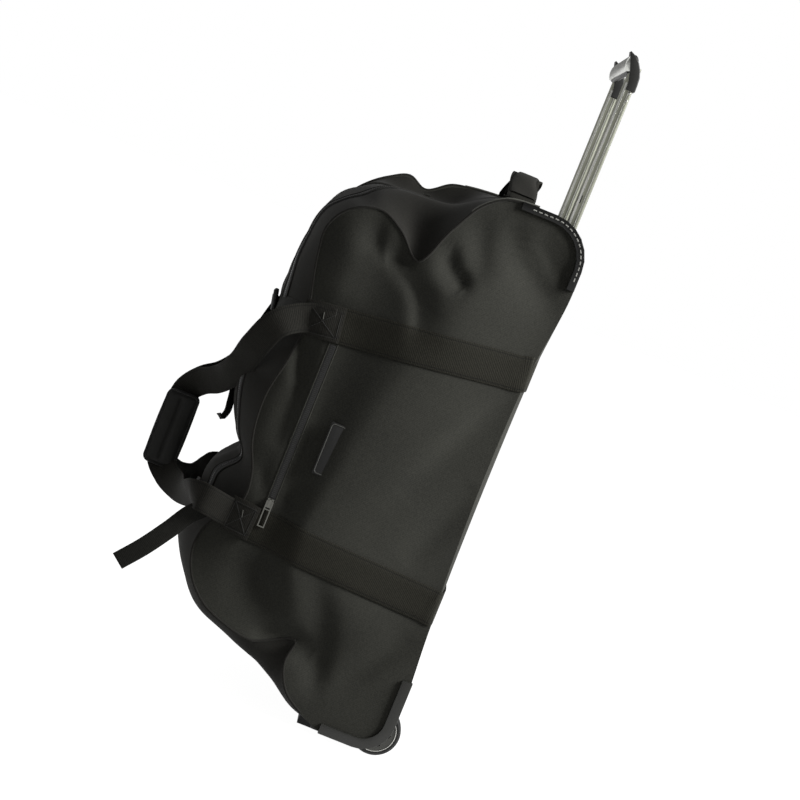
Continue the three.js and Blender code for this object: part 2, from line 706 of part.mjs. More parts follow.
// The grip: a bar across the bag, carried by an elbow on each tube. Its front is a bright insert
// let into the dark shell, and the release button is let into its top.
function addGrip() {
  const halfLength = tubeMiddle + gripElbow;
  const centreX = xAt(gripBarDepth);
  const oval = (grow) => Array.from({ length: 28 }, (_, i) => ({
    x: centreX + (gripBarHalfX + grow) * Math.cos(i * Math.PI / 14),
    z: gripBarHeight + (gripBarHalfZ + grow) * Math.sin(i * Math.PI / 14),
  }));
  const insertEnd = tubeMiddle - gripElbow;
  const insertBack = centreX + insertEdge;
  const insertLow = gripBarHeight - insertDrop;
  const buttonTop = gripBarHeight + gripBarHalfZ + buttonProud;
  const buttonX = centreX + buttonOffset;
  const buttonHalf = { x: buttonSize.x / 2, y: buttonSize.y / 2 };
  const tubeX = xAt(tubeDepth);
  let shell = slabY(oval(0), -halfLength, halfLength);
  for (const [, side] of sides) {
    const y = side * tubeMiddle;
    shell = shell.add(box(tubeX - elbowHalfX, tubeX + elbowHalfX, y - gripElbow, y + gripElbow,
      gripBottom, gripBarHeight));
  }
  for (const [, side] of sides) {
    const y = side * tubeMiddle;
    shell = shell.subtract(box(tubeX - innerTubeX / 2 - gap, tubeX + innerTubeX / 2 + gap,
      y - innerTubeY / 2 - gap, y + innerTubeY / 2 + gap, 0, gripBottom + socketDepth + gap));
  }
  shell = shell.subtract(box(-far, insertBack, -insertEnd, insertEnd, insertLow, far));
  shell = shell.subtract(box(buttonX - buttonHalf.x - gap, buttonX + buttonHalf.x + gap,
    -buttonHalf.y - gap, buttonHalf.y + gap, buttonTop - buttonPocket, far));
  add('grip_shell', shell, plastic);

  const insertRegion = box(-far, insertBack - gap, -insertEnd + gap, insertEnd - gap,
    insertLow + gap, far);
  const insert = slabY(oval(insertProud), -halfLength, halfLength).intersect(insertRegion);
  add('grip_insert', insert, silver);
  add('release_button', box(buttonX - buttonHalf.x, buttonX + buttonHalf.x, -buttonHalf.y,
    buttonHalf.y, buttonTop - buttonSize.z, buttonTop), trimPlastic);
}

// Moulded trim on the two top back corners, and piping along the lid edge of each side panel.
function addEdging() {
  const edge = (inner, outerOffset, y0, y1) => slabY(offset(sideOutline, outerOffset), y0, y1)
    .subtract(slabY(offset(sideOutline, inner), 0, far));
  const trimEnd = xAt(topShoulderDepth - trimTopMargin);
  const trimReach = box(trimEnd, far, 0, far, arcStart - trimBackMargin, far);
  const trimOut = gap + trimWrap;
  const trim = edge(-trimWidth, trimOut, half + gap, half + gap + trimThick)
    .add(edge(gap, trimOut, half - trimReturn, half + gap + trimThick)).intersect(trimReach);
  add('top_corner_trim_right', trim, trimPlastic);
  add('top_corner_trim_left', mirrorY(trim), trimPlastic);

  const pipingStart = xAt(topShoulderDepth - pipingTopMargin);
  const pipingReach = box(-far, pipingStart, 0, far, bagFloor + pipingRise, far)
    .subtract(box(xAt(bootDepth + pipingToe), far, 0, far, 0, bagTop / 2));
  const seat = half - wall;
  const lift = gap + frontBulge * crown(seat);
  const piping = edge(lift, lift + pipingSize, seat, seat + pipingSize).intersect(pipingReach);
  add('piping_right', piping, fabric);
  add('piping_left', mirrorY(piping), fabric);
}

// Girth bands: each runs up one side, across the back and down the other side.
function addBands() {
  const bands = {
    upper: [upperBandBack, upperBandFront],
    lower: [lowerBandBack, lowerBandFront],
  };
  for (const [name, [backHeight, frontHeight]] of Object.entries(bands)) {
    const low = -bandWidth / 2;
    const high = bandWidth / 2;
    const leg = slabY([
      { x: xAt(-gap - bandThick), z: backHeight + low },
      { x: xAt(bandFrontDepth), z: frontHeight + low },
      { x: xAt(bandFrontDepth), z: frontHeight + high },
      { x: xAt(-gap - bandThick), z: backHeight + high },
    ], half + gap, half + gap + bandThick);
    const back = box(xAt(-gap), xAt(-gap - bandThick), -half - gap - bandThick / 2,
      half + gap + bandThick / 2, backHeight + low, backHeight + high);
    add(`girth_band_${name}`, join(leg, mirrorY(leg), back), webbing);
  }
}

const inPlane = (along) => along.clone().cross(new THREE.Vector3(0, 1, 0));

// Carry straps: each leaves the upper band, runs through the wrap and comes back to the lower.
function addCarryHandles() {
  const onBand = half + gap + bandThick + gap + strapThick / 2;
  const sewn = bandFrontDepth - sewnLength;
  const inWrap = strapThick / 2 + gap;
  const top = wrapHeight + wrapLength / 2;
  const bottom = wrapHeight - wrapLength / 2;
  const route = [
    [sewn, onBand, upperBandFront + 5],
    [bandFrontDepth, onBand, upperBandFront],
    [bagDepth + 18, onBand + 1, upperBandFront - 24],
    [bagDepth + 39, onBand - 17, upperBandFront - 66],
    [wrapDepth - 55, 132, upperBandFront - 102],
    [wrapDepth - 40, 92, top + 60],
    [wrapDepth - 22, 52, top + 40],
    [wrapDepth - 8, 18, top + 22],
    [wrapDepth, inWrap, top + 4],
    [wrapDepth, inWrap, wrapHeight],
    [wrapDepth, inWrap, bottom - 4],
    [wrapDepth - 8, 22, bottom - 22],
    [wrapDepth - 26, 58, bottom - 18],
    [wrapDepth - 42, 102, bottom - 8],
    [bagDepth + 52, 150, lowerBandFront - 10],
    [bagDepth + 34, onBand - 14, lowerBandFront + 5],
    [bagDepth + 14, onBand + 1, lowerBandFront + 7],
    [bandFrontDepth, onBand, lowerBandFront],
    [sewn, onBand, lowerBandFront],
  ].map(([depth, y, z]) => new THREE.Vector3(xAt(depth), y, z));
  const strap = ribbon(route, inPlane, strapWidth, strapThick);
  add('carry_strap_right', strap, webbing);
  add('carry_strap_left', mirrorY(strap), webbing);

  const x = xAt(wrapDepth);
  const section = tubeSection(wrapWidth, wrapThick, 0, 9).map(([u, v]) => [x + u, v]);
  const channelX = strapWidth + 2 * channelMargin;
  const channelY = 2 * (strapThick + gap + channelMargin);
  const hollow = tubeSection(channelX, channelY, 0, 1.5).map(([u, v]) => [x + u, v]);
  add('handle_wrap', postZ(section, bottom, top, hollow), padding);
}

// Compression straps carry the girth bands on across the lid, each with a clipped buckle on one
// flat stretch and a loose tail. A tail's points give how far it stands out in front of the lid,
// its Y and its height over the strap. Its first point is where it leaves the strap.
function addCompressionStraps() {
  const upright = () => new THREE.Vector3(0, 0, 1);
  const acrossBag = () => new THREE.Vector3(0, 1, 0);
  const stationAt = (step) => crossShare(step) * half * compressionSpan;
  const stations = Array.from({ length: crossSteps + 1 }, (_, step) => stationAt(step));
  const lidX = (y) => xAt(bagDepth) - frontBulge * crown(y) - gap - bandThick / 2 - compressionLift;
  // How far out a tail starts, so that the edge of it that meets the curved strap sinks in.
  const startOut = (y, bite) => bandThick - bite
    + compressionWidth / 2 * 2 * frontBulge * Math.abs(y) / half ** 2;
  const buckleY = (stationAt(2) + stationAt(3)) / 2;
  const upperY = buckleY + upperTailAside;
  const lowerY = (fromSide) => fromSide - half;
  const straps = {
    upper: {
      height: upperBandFront,
      across: acrossBag,
      tail: [[startOut(upperY, upperTailBite), upperY, 4], [4, upperY, -10], [11, upperY, -60],
        [19, upperY, -130], [16, upperY, -188]],
    },
    lower: {
      height: lowerBandFront,
      across: (along, i) => acrossBag().lerp(inPlane(along), Math.min(1, i / 3)),
      tail: [[startOut(lowerY(18), lowerTailBite), lowerY(18), 2], [12, lowerY(15), -12],
        [22, lowerY(11), -27], [40, lowerY(9), -52], [62, lowerY(9), -86], [86, lowerY(12), -121]],
    },
  };
  for (const [name, { height, across, tail }] of Object.entries(straps)) {
    const path = stations.map((y) => new THREE.Vector3(lidX(y), y, height));
    const [start, end] = [path[2], path[3]];
    const middle = start.clone().add(end).multiplyScalar(0.5);
    const buckle = new THREE.Group();
    buckle.position.copy(middle);
    buckle.rotation.z = Math.atan2(start.x - end.x, end.y - start.y);
    model.add(buckle);
    const back = -bandThick / 2 - gap;
    add(`compression_buckle_${name}`, box(back - buckleThick, back, -buckleLength / 2,
      buckleLength / 2, -buckleWidth / 2, buckleWidth / 2), plastic, buckle);

    const [forward, y, up] = [0, 1, 2];
    const route = tail.map((p) => new THREE.Vector3(lidX(p[y]) - p[forward], p[y], height + p[up]));
    const strap = ribbon(path, upright, compressionWidth, bandThick)
      .add(ribbon(route, across, compressionWidth, bandThick));
    add(`compression_strap_${name}`, strap, webbing);
  }
}

// A zip slider lying in local X and Y with its back at z = 0; it runs along local Y.
function sliderGeometry() {
  const w = sliderWidth / 2;
  const reach = sliderLength / 2;
  const bridgeEnd = reach - bridgeInset;
  const eyeEnd = bridgeEnd - bridgeFoot;
  const body = box(-w, w, -reach, reach, 0, sliderBase);
  const bridge = box(-bridgeWidth / 2, bridgeWidth / 2, -bridgeEnd, bridgeEnd,
    sliderBase - bridgeBite, sliderThick);
  const eye = box(-far, far, -eyeEnd, eyeEnd, sliderBase, sliderThick - bridgeWall);
  return toGeometry(body.add(bridge.subtract(eye)));
}

// A frame pull: a flat ring with a cross bar, hanging from the slider's bridge along local -Y.
function pullGeometry() {
  const w = pullWidth / 2;
  const bar = pullThick;
  const frame = box(-w, w, -pullLength, 0, 0, pullThick);
  const crossBar = -pullLength * pullBarShare;
  const lowerWindow = box(-w + bar, w - bar, -pullLength + bar, crossBar, -far, far);
  const upperWindow = box(-w + bar, w - bar, crossBar + bar, -bar, -far, far);
  return toGeometry(frame.subtract(lowerWindow).subtract(upperWindow));
}

// A slider and its pull, in a group that carries them to their place on the zip.
function addZipHardware(prefix, place) {
  const group = new THREE.Group();
  place(group);
  model.add(group);
  const slider = add(`${prefix}_slider`, sliderGeometry(), gunmetal, group);
  slider.position.z = gap;
  const pull = add(`${prefix}_pull`, pullGeometry(), gunmetal, group);
  const eyeMiddle = gap + (sliderBase + sliderThick - bridgeWall) / 2;
  pull.position.set(0, sliderLength / 2 - pullDrop, eyeMiddle - pullThick / 2);
  return group;
}

function addZips() {
  const tapeTop = half + zipProud;
  const x = xAt(pocketZipDepth);
  add('pocket_zip_tape', box(x - zipWidth / 2, x + zipWidth / 2, -tapeTop, -half + wall,
    pocketZipBottom, pocketZipTop), tape);
  addZipHardware('pocket', (group) => {
    group.rotation.x = Math.PI / 2;
    group.position.set(x, -tapeTop, pocketZipBottom + sliderLength / 2 + sliderMargin);
  });
  const zipMiddle = lidZipDepth + zipWidth / 2;
  for (const [name, side] of sides) {
    addZipHardware(`lid_${name}`, (group) => {
      group.rotation.set(0, -topSlope, side < 0 ? 0 : Math.PI, 'YXZ');
      const y = side * (sliderLength / 2 + sliderMargin);
      group.position.set(xAt(zipMiddle), y, topHeightAt(zipMiddle));
    });
  }
}

function addGrabHandle() {
  const top = bagTop + gap + strapThick / 2;
  const route = [];
  const out = grabHalfSpan + grabFoot;
  route.push(new THREE.Vector3(xAt(grabDepth), -out, top));
  for (let i = 0; i <= 10; i += 1) {
    const y = -grabHalfSpan + i * grabHalfSpan / 5;
    const rise = grabRise * Math.cos((y / grabHalfSpan) * Math.PI / 2) ** 1.2;
    route.push(new THREE.Vector3(xAt(grabDepth), y, top + rise));
  }
  route.push(new THREE.Vector3(xAt(grabDepth), out, top));
  const across = () => new THREE.Vector3(1, 0, 0);
  const handle = ribbon(route, across, grabWidth, strapThick + 1);
  add('grab_handle', handle.subtract(box(-far, far, -far, far, -far, bagTop + gap)), webbing);
}

function addBadge() {
  const x = xAt(badgeDepth);
  const back = -half - gap;
  add('badge_patch', box(x - badgeWidth / 2, x + badgeWidth / 2, back - badgeThick, back,
    badgeHeight - badgeLength / 2, badgeHeight + badgeLength / 2), padding);
}

const bag = addPanels();
addStiffBack();
addBoot(bag);
addGuards();
addWheels();
addTubes();
addBrackets();
addCup(bag);
addGrip();
addEdging();
addBands();
addCarryHandles();
addCompressionStraps();
addZips();
addGrabHandle();
addBadge();

export default model;
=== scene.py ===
# %% [markdown]
# # A rolling duffel bag
# The bag is 0.78 m tall with a fabric body, a moulded boot with two wheels, webbing handles and a
# trolley handle that is pulled out. The metal and plastic pieces come ready made in the frame, at
# their real size. This lesson gives them their finishes and models everything that is soft.
# Blender works in metres here: +Z is up, +X points out of the stiff back, -X out of the lid.

# %% Load the frame
import json
import math

import bpy
import numpy as np
from mathutils import Matrix, Vector


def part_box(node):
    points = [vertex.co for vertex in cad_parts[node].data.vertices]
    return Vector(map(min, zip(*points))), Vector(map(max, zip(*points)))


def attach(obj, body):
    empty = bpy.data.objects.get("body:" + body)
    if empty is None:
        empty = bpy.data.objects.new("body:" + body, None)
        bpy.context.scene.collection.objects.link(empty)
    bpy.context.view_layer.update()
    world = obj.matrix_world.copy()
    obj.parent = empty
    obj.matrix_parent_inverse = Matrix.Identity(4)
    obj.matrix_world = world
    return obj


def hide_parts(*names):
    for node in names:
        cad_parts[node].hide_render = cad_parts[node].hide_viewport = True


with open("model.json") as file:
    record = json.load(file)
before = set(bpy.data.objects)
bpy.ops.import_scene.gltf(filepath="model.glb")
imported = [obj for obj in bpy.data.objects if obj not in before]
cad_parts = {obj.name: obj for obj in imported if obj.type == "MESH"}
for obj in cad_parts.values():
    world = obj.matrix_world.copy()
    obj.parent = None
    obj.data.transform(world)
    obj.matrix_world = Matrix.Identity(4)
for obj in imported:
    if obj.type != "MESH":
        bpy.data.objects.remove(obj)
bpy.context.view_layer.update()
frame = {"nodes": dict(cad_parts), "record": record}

MM = 0.001
SIDES = (("left", -1), ("right", 1))
side_low, side_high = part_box("side_panel_left")
BACK = side_high.x          # the stiff back's outer face
HALF = -side_low.y          # the middle of the bag to a side panel's outer face
print("back at x", round(BACK, 4), "sides at y", round(HALF, 4))

# %% [markdown]
# ## Small helpers
# Every soft piece starts as a flat grid, as cloth does, and is then laid on the shape it has on the
# bag. The grid primitive is added with enough squares, and each of its vertices is moved to its
# place by a function of how far along and how far across the cloth it is. Lofting between curves
# or sculpting by hand would also do, but a function keeps neighbouring pieces exactly together.


# %% Select nothing, then make one object active
def start_clean():
    if bpy.context.mode != "OBJECT":
        bpy.ops.object.mode_set(mode="OBJECT")
    bpy.ops.object.select_all(action="DESELECT")


def make_active(piece):
    start_clean()
    bpy.context.view_layer.objects.active = piece
    piece.select_set(True)


# %% Use edit mode tools on all of a piece
def edit_all(piece, *tools):
    """Each tool is one of the mesh operators with its settings."""
    make_active(piece)
    bpy.ops.object.mode_set(mode="EDIT")
    bpy.ops.mesh.select_all(action="SELECT")
    for tool, settings in tools:
        tool(**settings)
    bpy.ops.object.mode_set(mode="OBJECT")


# %% Read and set the places of all vertices
def places_of(piece):
    return np.array([vertex.co for vertex in piece.data.vertices])


def move_to(piece, places):
    piece.data.vertices.foreach_set("co", places.astype(np.float32).ravel())
    piece.data.update()


# %% Lay a grid of cloth on a shape
def laid_grid(name, along, across, place):
    """A grid with a vertex for each pair of an along value and an across value."""
    start_clean()
    bpy.ops.mesh.primitive_grid_add(x_subdivisions=len(along) - 1, y_subdivisions=len(across) - 1,
                                    size=2)
    piece = bpy.context.object
    piece.name = name
    flat = places_of(piece)
    column = np.rint((flat[:, 0] + 1) / 2 * (len(along) - 1)).astype(int)
    row = np.rint((flat[:, 1] + 1) / 2 * (len(across) - 1)).astype(int)
    points = place(np.asarray(along, float)[column], np.asarray(across, float)[row])
    move_to(piece, points)
    keep_weave(piece, points, column, row, len(along), len(across))
    return piece


# %% Remember where each point lies on the flat cloth
def keep_weave(piece, points, column, row, columns, rows):
    """Stores how far along and across the cloth each vertex is, in metres, as `weave`."""
    table = np.zeros((columns, rows, 3))
    table[column, row] = points
    along = np.linalg.norm(np.diff(table, axis=0), axis=2).mean(axis=1)
    across = np.linalg.norm(np.diff(table, axis=1), axis=2).mean(axis=0)
    u = np.concatenate([[0], np.cumsum(along)])
    v = np.concatenate([[0], np.cumsum(across)]) - across.sum() / 2
    weave = np.stack([u[column], v[row], np.zeros(len(column))], axis=1)
    attribute = piece.data.attributes.new("weave", "FLOAT_VECTOR", "POINT")
    attribute.data.foreach_set("vector", weave.astype(np.float32).ravel())


# %% Give a sheet its thickness
def apply_modifier(piece, kind, **settings):
    make_active(piece)
    modifier = piece.modifiers.new(kind.title(), kind)
    for key, value in settings.items():
        setattr(modifier, key, value)
    bpy.ops.object.modifier_apply(modifier=modifier.name)


def thicken(piece, thickness, offset=-1.0):
    apply_modifier(piece, "SOLIDIFY", thickness=thickness, offset=offset, use_even_offset=False)


def smooth(piece, degrees=40):
    make_active(piece)
    bpy.ops.object.shade_smooth_by_angle(angle=math.radians(degrees))


# %% Turn the faces outwards
OUTWARDS = (bpy.ops.mesh.normals_make_consistent, {"inside": False})


def face_out(piece, merge=0.05 * MM):
    edit_all(piece, (bpy.ops.mesh.remove_doubles, {"threshold": merge}), OUTWARDS)


def flip(piece):
    edit_all(piece, (bpy.ops.mesh.flip_normals, {}))


# %% Directions, and a smooth curve through points
def unit(ways):
    """Makes each row, a direction, one long."""
    return ways / np.linalg.norm(ways, axis=1)[:, None]


def spline(points, s):
    """A smooth curve through points: s = 0 is the first point, s = 1 the second, and so on."""
    points = np.asarray(points, float)
    s = np.asarray(s, float)
    steps = np.diff(points, axis=0)
    lengths = np.linalg.norm(steps, axis=1)[:, None] + 1e-9
    slopes = steps / lengths
    inner = (slopes[:-1] * lengths[1:] + slopes[1:] * lengths[:-1]) / (lengths[1:] + lengths[:-1])
    tangents = np.concatenate([slopes[:1], inner, slopes[-1:]])
    i = np.clip(s.astype(int), 0, len(steps) - 1)
    t = (s - i)[..., None]
    h = lengths[i]
    start = (1 + 2 * t) * (1 - t) ** 2 * points[i] + t * (1 - t) ** 2 * h * tangents[i]
    end = t * t * (3 - 2 * t) * points[i + 1] + t * t * (t - 1) * h * tangents[i + 1]
    return start + end


def ease(value):
    """0 below 0, 1 above 1, and a smooth rise between."""
    t = np.clip(value, 0, 1)
    return t * t * (3 - 2 * t)


def stations(points, first, last, step):
    """Values of s from first to last, about `step` apart on the curve."""
    values = []
    points = np.asarray(points, float)
    s = first
    while s < last - 1e-6:
        end = min(math.floor(s + 1e-6) + 1, last)
        reach = np.linalg.norm(spline(points, np.array(end)) - spline(points, np.array(s)))
        count = max(1, int(round(reach / step)))
        values += list(s + (end - s) * np.arange(count) / count)
        s = end
    return np.array(values + [last])


# %% [markdown]
# ## Finishes
# Each material is what the real piece is made of. A helper turns the colour codes that a paint chart
# gives into the linear values that Blender mixes light with, and another adds a node with its
# settings and its links, so that each recipe below reads from top to bottom.


# %% Colours and nodes
def linear(code):
    values = [int(code[i:i + 2], 16) / 255 for i in (0, 2, 4)]
    return tuple(v / 12.92 if v <= 0.04045 else ((v + 0.055) / 1.055) ** 2.4 for v in values) + (1.0,)


def new_material(name, color, roughness, **sockets):
    material = bpy.data.materials.new(name)
    material.use_nodes = True
    tree = material.node_tree
    shader = tree.nodes["Principled BSDF"]
    shader.inputs["Base Color"].default_value = linear(color)
    shader.inputs["Roughness"].default_value = roughness
    for socket, value in sockets.items():
        shader.inputs[socket.replace("_", " ")].default_value = value
    return material, tree, shader


def add(tree, kind, inputs=(), **settings):
    """Adds a node. An input is given a socket to link, or a plain value."""
    node = tree.nodes.new(kind)
    for key, value in settings.items():
        setattr(node, key, value)
    for key, value in dict(inputs).items():
        if isinstance(value, bpy.types.NodeSocket):
            tree.links.new(value, node.inputs[key])
        else:
            node.inputs[key].default_value = value
    return node


def connect(tree, shader, socket, source):
    tree.links.new(source, shader.inputs[socket])


# %% [markdown]
# ### Polyester twill
# The body is 600-denier polyester, coated on the inside. Up close it is a diagonal twill with a dry,
# slightly uneven face: no shine, but a soft bloom where it turns away from the light. The real
# thread spacing is 0.5 mm. It is drawn at 1.5 mm, three times as coarse, so that it shows at arm's
# length, over a grain of slubs and a slow change of tone like the one handling leaves.


# %% Twill fabric
def twill(name, light, dark, bump=0.35):
    material, tree, shader = new_material(name, light, 0.85, Sheen_Weight=0.04, Sheen_Roughness=0.5,
                                          Specular_IOR_Level=0.25)
    place = add(tree, "ShaderNodeTexCoord").outputs["Object"]
    thread = 2 * math.pi / (1.5 * MM)
    turned = add(tree, "ShaderNodeMapping", {"Vector": place, "Rotation": (0.6, 0.78, 0.5)})
    slubs = add(tree, "ShaderNodeTexNoise", {"Vector": place, "Scale": 420.0, "Detail": 2.0})
    lines = add(tree, "ShaderNodeTexWave", {"Vector": turned.outputs["Vector"],
                                            "Scale": thread / 20, "Distortion": 1.2,
                                            "Detail": 1.0, "Detail Scale": 3.0})
    drift = add(tree, "ShaderNodeTexNoise", {"Vector": place, "Scale": 7.0, "Detail": 3.0})
    weave = add(tree, "ShaderNodeMix", {0: 0.35, 2: slubs.outputs["Fac"], 3: lines.outputs["Fac"]})
    tone = add(tree, "ShaderNodeMix", {0: 0.4, 2: weave.outputs[0], 3: drift.outputs["Fac"]})
    ramp = add(tree, "ShaderNodeMapRange", {"Value": tone.outputs[0], "From Min": 0.3,
                                            "From Max": 0.7})
    color = add(tree, "ShaderNodeMix", {0: ramp.outputs[0], 6: linear(dark), 7: linear(light)},
                data_type="RGBA")
    connect(tree, shader, "Base Color", color.outputs[2])
    relief = add(tree, "ShaderNodeBump", {"Strength": bump, "Distance": 0.6 * MM,
                                          "Height": weave.outputs[0]})
    connect(tree, shader, "Normal", relief.outputs[0])
    return material


BODY_FABRIC = twill("polyester twill", "43433d", "2a2a26")
# The covers of the top, lid and bottom get a darker copy of the same twill: painted shade.
SHADED_COVER_TWILL = twill("polyester twill, lid, painted shade", "2a2925", "1c1b18")

# %% [markdown]
# ### Polypropylene webbing
# The bands and handles are flat woven webbing: close ribs across the width, a harder edge on each
# side and a row of lock stitch along each edge. The ribs follow the strap round its bends, so the
# pattern reads the `weave` attribute, which says how far along and across the strap a point is.
# The real ribs are 1 mm apart and are drawn at 2.4 mm. The sewn lines are drawn 1 mm wide.


# %% Webbing
def webbing(name, light, dark, width, stitched=True):
    material, tree, shader = new_material(name, light, 0.78, Sheen_Weight=0.02,
                                          Specular_IOR_Level=0.2)
    flat = add(tree, "ShaderNodeAttribute", attribute_name="weave").outputs["Vector"]
    parts = add(tree, "ShaderNodeSeparateXYZ", {"Vector": flat})
    ribs = add(tree, "ShaderNodeMath", {0: parts.outputs["X"], 1: 2 * math.pi / (2.4 * MM)},
               operation="MULTIPLY")
    rib = add(tree, "ShaderNodeMath", {0: ribs.outputs[0]}, operation="SINE")
    grain = add(tree, "ShaderNodeTexNoise", {"Vector": flat, "Scale": 380.0, "Detail": 2.0})
    height = add(tree, "ShaderNodeMath", {0: rib.outputs[0], 1: 0.3, 2: grain.outputs["Fac"]},
                 operation="MULTIPLY_ADD")
    aside = add(tree, "ShaderNodeMath", {0: parts.outputs["Y"]}, operation="ABSOLUTE")
    seam = add(tree, "ShaderNodeMath", {0: aside.outputs[0], 1: width / 2 - 3.5 * MM, 2: 0.9 * MM},
               operation="COMPARE")
    ramp = add(tree, "ShaderNodeMapRange", {"Value": height.outputs[0], "From Min": 0.1,
                                            "From Max": 0.9})
    color = add(tree, "ShaderNodeMix", {0: ramp.outputs[0], 6: linear(dark), 7: linear(light)},
                data_type="RGBA")
    if stitched:
        darker = add(tree, "ShaderNodeMath", {0: seam.outputs[0], 1: 0.55}, operation="MULTIPLY")
        color = add(tree, "ShaderNodeMix", {0: darker.outputs[0], 6: color.outputs[2],
                                            7: linear("121210")}, data_type="RGBA")
        height = add(tree, "ShaderNodeMath", {0: seam.outputs[0], 1: -1.5, 2: height.outputs[0]},
                     operation="MULTIPLY_ADD")
    connect(tree, shader, "Base Color", color.outputs[2])
    relief = add(tree, "ShaderNodeBump", {"Strength": 0.5, "Distance": 0.5 * MM,
                                          "Height": height.outputs[0]})
    connect(tree, shader, "Normal", relief.outputs[0])
    return material


BAND_WIDTH = 50 * MM
STRAP_WIDTH = 40 * MM
TAIL_WIDTH = 25 * MM
BAND_WEBBING = webbing("polypropylene webbing, band", "33322a", "1b1a15", BAND_WIDTH)
STRAP_WEBBING = webbing("polypropylene webbing, strap", "2d2c27", "191815", STRAP_WIDTH)
TAIL_WEBBING = webbing("polypropylene webbing, tail", "272723", "181815", TAIL_WIDTH, False)

# %% [markdown]
# ### Moulded plastics, rubber and padding
# The boot, guards and brackets are polypropylene from a spark-eroded mould, which leaves a fine even
# grain and a satin face. The small parts are glossier acetal. The tyres are matt rubber, and the
# handle wrap is a closed neoprene-like knit over foam.


# %% Plastics
def moulded(name, light, roughness, grain=1.1, bump=0.25, **sockets):
    material, tree, shader = new_material(name, light, roughness, **sockets)
    place = add(tree, "ShaderNodeTexCoord").outputs["Object"]
    grain_noise = add(tree, "ShaderNodeTexNoise", {"Vector": place, "Scale": 1 / (grain * MM),
                                                   "Detail": 2.0})
    wear = add(tree, "ShaderNodeTexNoise", {"Vector": place, "Scale": 18.0, "Detail": 4.0})
    shade = add(tree, "ShaderNodeMapRange", {"Value": wear.outputs["Fac"], "From Min": 0.3,
                                             "From Max": 0.7, "To Min": 0.82, "To Max": 1.12})
    color = add(tree, "ShaderNodeMix", {0: 1.0, 6: linear(light), 7: shade.outputs[0]},
                data_type="RGBA", blend_type="MULTIPLY")
    connect(tree, shader, "Base Color", color.outputs[2])
    rough = add(tree, "ShaderNodeMapRange", {"Value": wear.outputs["Fac"], "To Min": roughness - 0.07,
                                             "To Max": roughness + 0.07})
    connect(tree, shader, "Roughness", rough.outputs[0])
    relief = add(tree, "ShaderNodeBump", {"Strength": bump, "Distance": 0.15 * MM,
                                          "Height": grain_noise.outputs["Fac"]})
    connect(tree, shader, "Normal", relief.outputs[0])
    return material


BOOT_PLASTIC = moulded("polypropylene, eroded grain", "1b1b19", 0.5)
GUARD_PLASTIC = moulded("polypropylene, satin guard", "2b2b28", 0.4, grain=1.6)
GLOSS_PLASTIC = moulded("acetal, dark", "0f0f0e", 0.36, bump=0.08, Specular_IOR_Level=0.35)
BOARD = moulded("polypropylene sheet", "121211", 0.6)
RUBBER = moulded("moulded rubber", "161615", 0.75, grain=1.8)
HUB_PLASTIC = moulded("nylon, grey", "4b4b47", 0.42)
KNIT = moulded("warp knit over foam", "222220", 0.85, grain=0.9, bump=0.6, Sheen_Weight=0.1)
LIGHT_THREAD = moulded("reflective cord", "9f9f99", 0.5)
# On the top seams this light grey is painted sheen on a real binding.
BINDING = moulded("grosgrain binding", "565650", 0.7)
THREAD = moulded("polyester thread", "1d1d1a", 0.7)
LINING = moulded("coated lining cloth", "1a1a19", 0.8)
ZIP_CLOTH = moulded("zip tape, woven", "151514", 0.75, grain=0.8, bump=0.5)
ZIP_COIL = moulded("nylon zip coil", "1d1d1b", 0.35, grain=0.8)

# %% [markdown]
# ### Metals
# The trolley tubes are extruded aluminium with an olive-grey anodised film: half matt, with fine lines
# drawn along the tube by the die. The sliders and pulls are plated zinc, dark and glossy. Rivets,
# axles and bearings are plain steel.


# %% Metals
def metal(name, color, roughness, line=0.0, bump=0.1):
    """line is the spacing of drawn lines along Z in metres, or 0 for none."""
    material, tree, shader = new_material(name, color, roughness, Metallic=1.0)
    place = add(tree, "ShaderNodeTexCoord").outputs["Object"]
    stretch = (1.0, 1.0, 0.02) if line else (1.0, 1.0, 1.0)
    drawn = add(tree, "ShaderNodeMapping", {"Vector": place, "Scale": stretch})
    grain = add(tree, "ShaderNodeTexNoise", {"Vector": drawn.outputs["Vector"],
                                             "Scale": 1 / (line or 2 * MM), "Detail": 3.0})
    rough = add(tree, "ShaderNodeMapRange", {"Value": grain.outputs["Fac"], "To Min": roughness - 0.06,
                                             "To Max": roughness + 0.1})
    connect(tree, shader, "Roughness", rough.outputs[0])
    shade = add(tree, "ShaderNodeMapRange", {"Value": grain.outputs["Fac"], "From Min": 0.3,
                                             "From Max": 0.7, "To Min": 0.88, "To Max": 1.08})
    tint = add(tree, "ShaderNodeMix", {0: 1.0, 6: linear(color), 7: shade.outputs[0]},
               data_type="RGBA", blend_type="MULTIPLY")
    connect(tree, shader, "Base Color", tint.outputs[2])
    relief = add(tree, "ShaderNodeBump", {"Strength": bump, "Distance": 0.05 * MM,
                                          "Height": grain.outputs["Fac"]})
    connect(tree, shader, "Normal", relief.outputs[0])
    return material


TUBE_METAL = metal("anodised aluminium, olive grey", "9a9b8e", 0.4, line=1.2 * MM)
# A brighter copy of the aluminium is painted highlight, for the glints on the tubes and the wheel rims.
HIGHLIGHT_METAL = metal("aluminium, painted highlight", "e4e4de", 0.26, line=1.2 * MM)
SILVER = metal("aluminium-filled lacquer on nylon", "d6d7d2", 0.3)
STEEL = metal("zinc-plated steel", "a8a8a4", 0.35)
GUNMETAL = metal("zinc alloy, nickel plate", "6e6e69", 0.34)
print("materials made:", len(bpy.data.materials))

# %% [markdown]
# ## The bag's shape
# A duffel is a tube of cloth with two flat ends, lying on its side: here the flat ends are the left and
# right side panels, and the tube runs up the back, over the top and down the lid. Its shape is set by
# three curves that run that way round: the left seam, the middle and the right seam. Each row below
# holds one place on all three, as depth from the back and height. The left side has sagged under
# its own weight: its top seam drops into a V, and its lower front is tucked in over the boot.

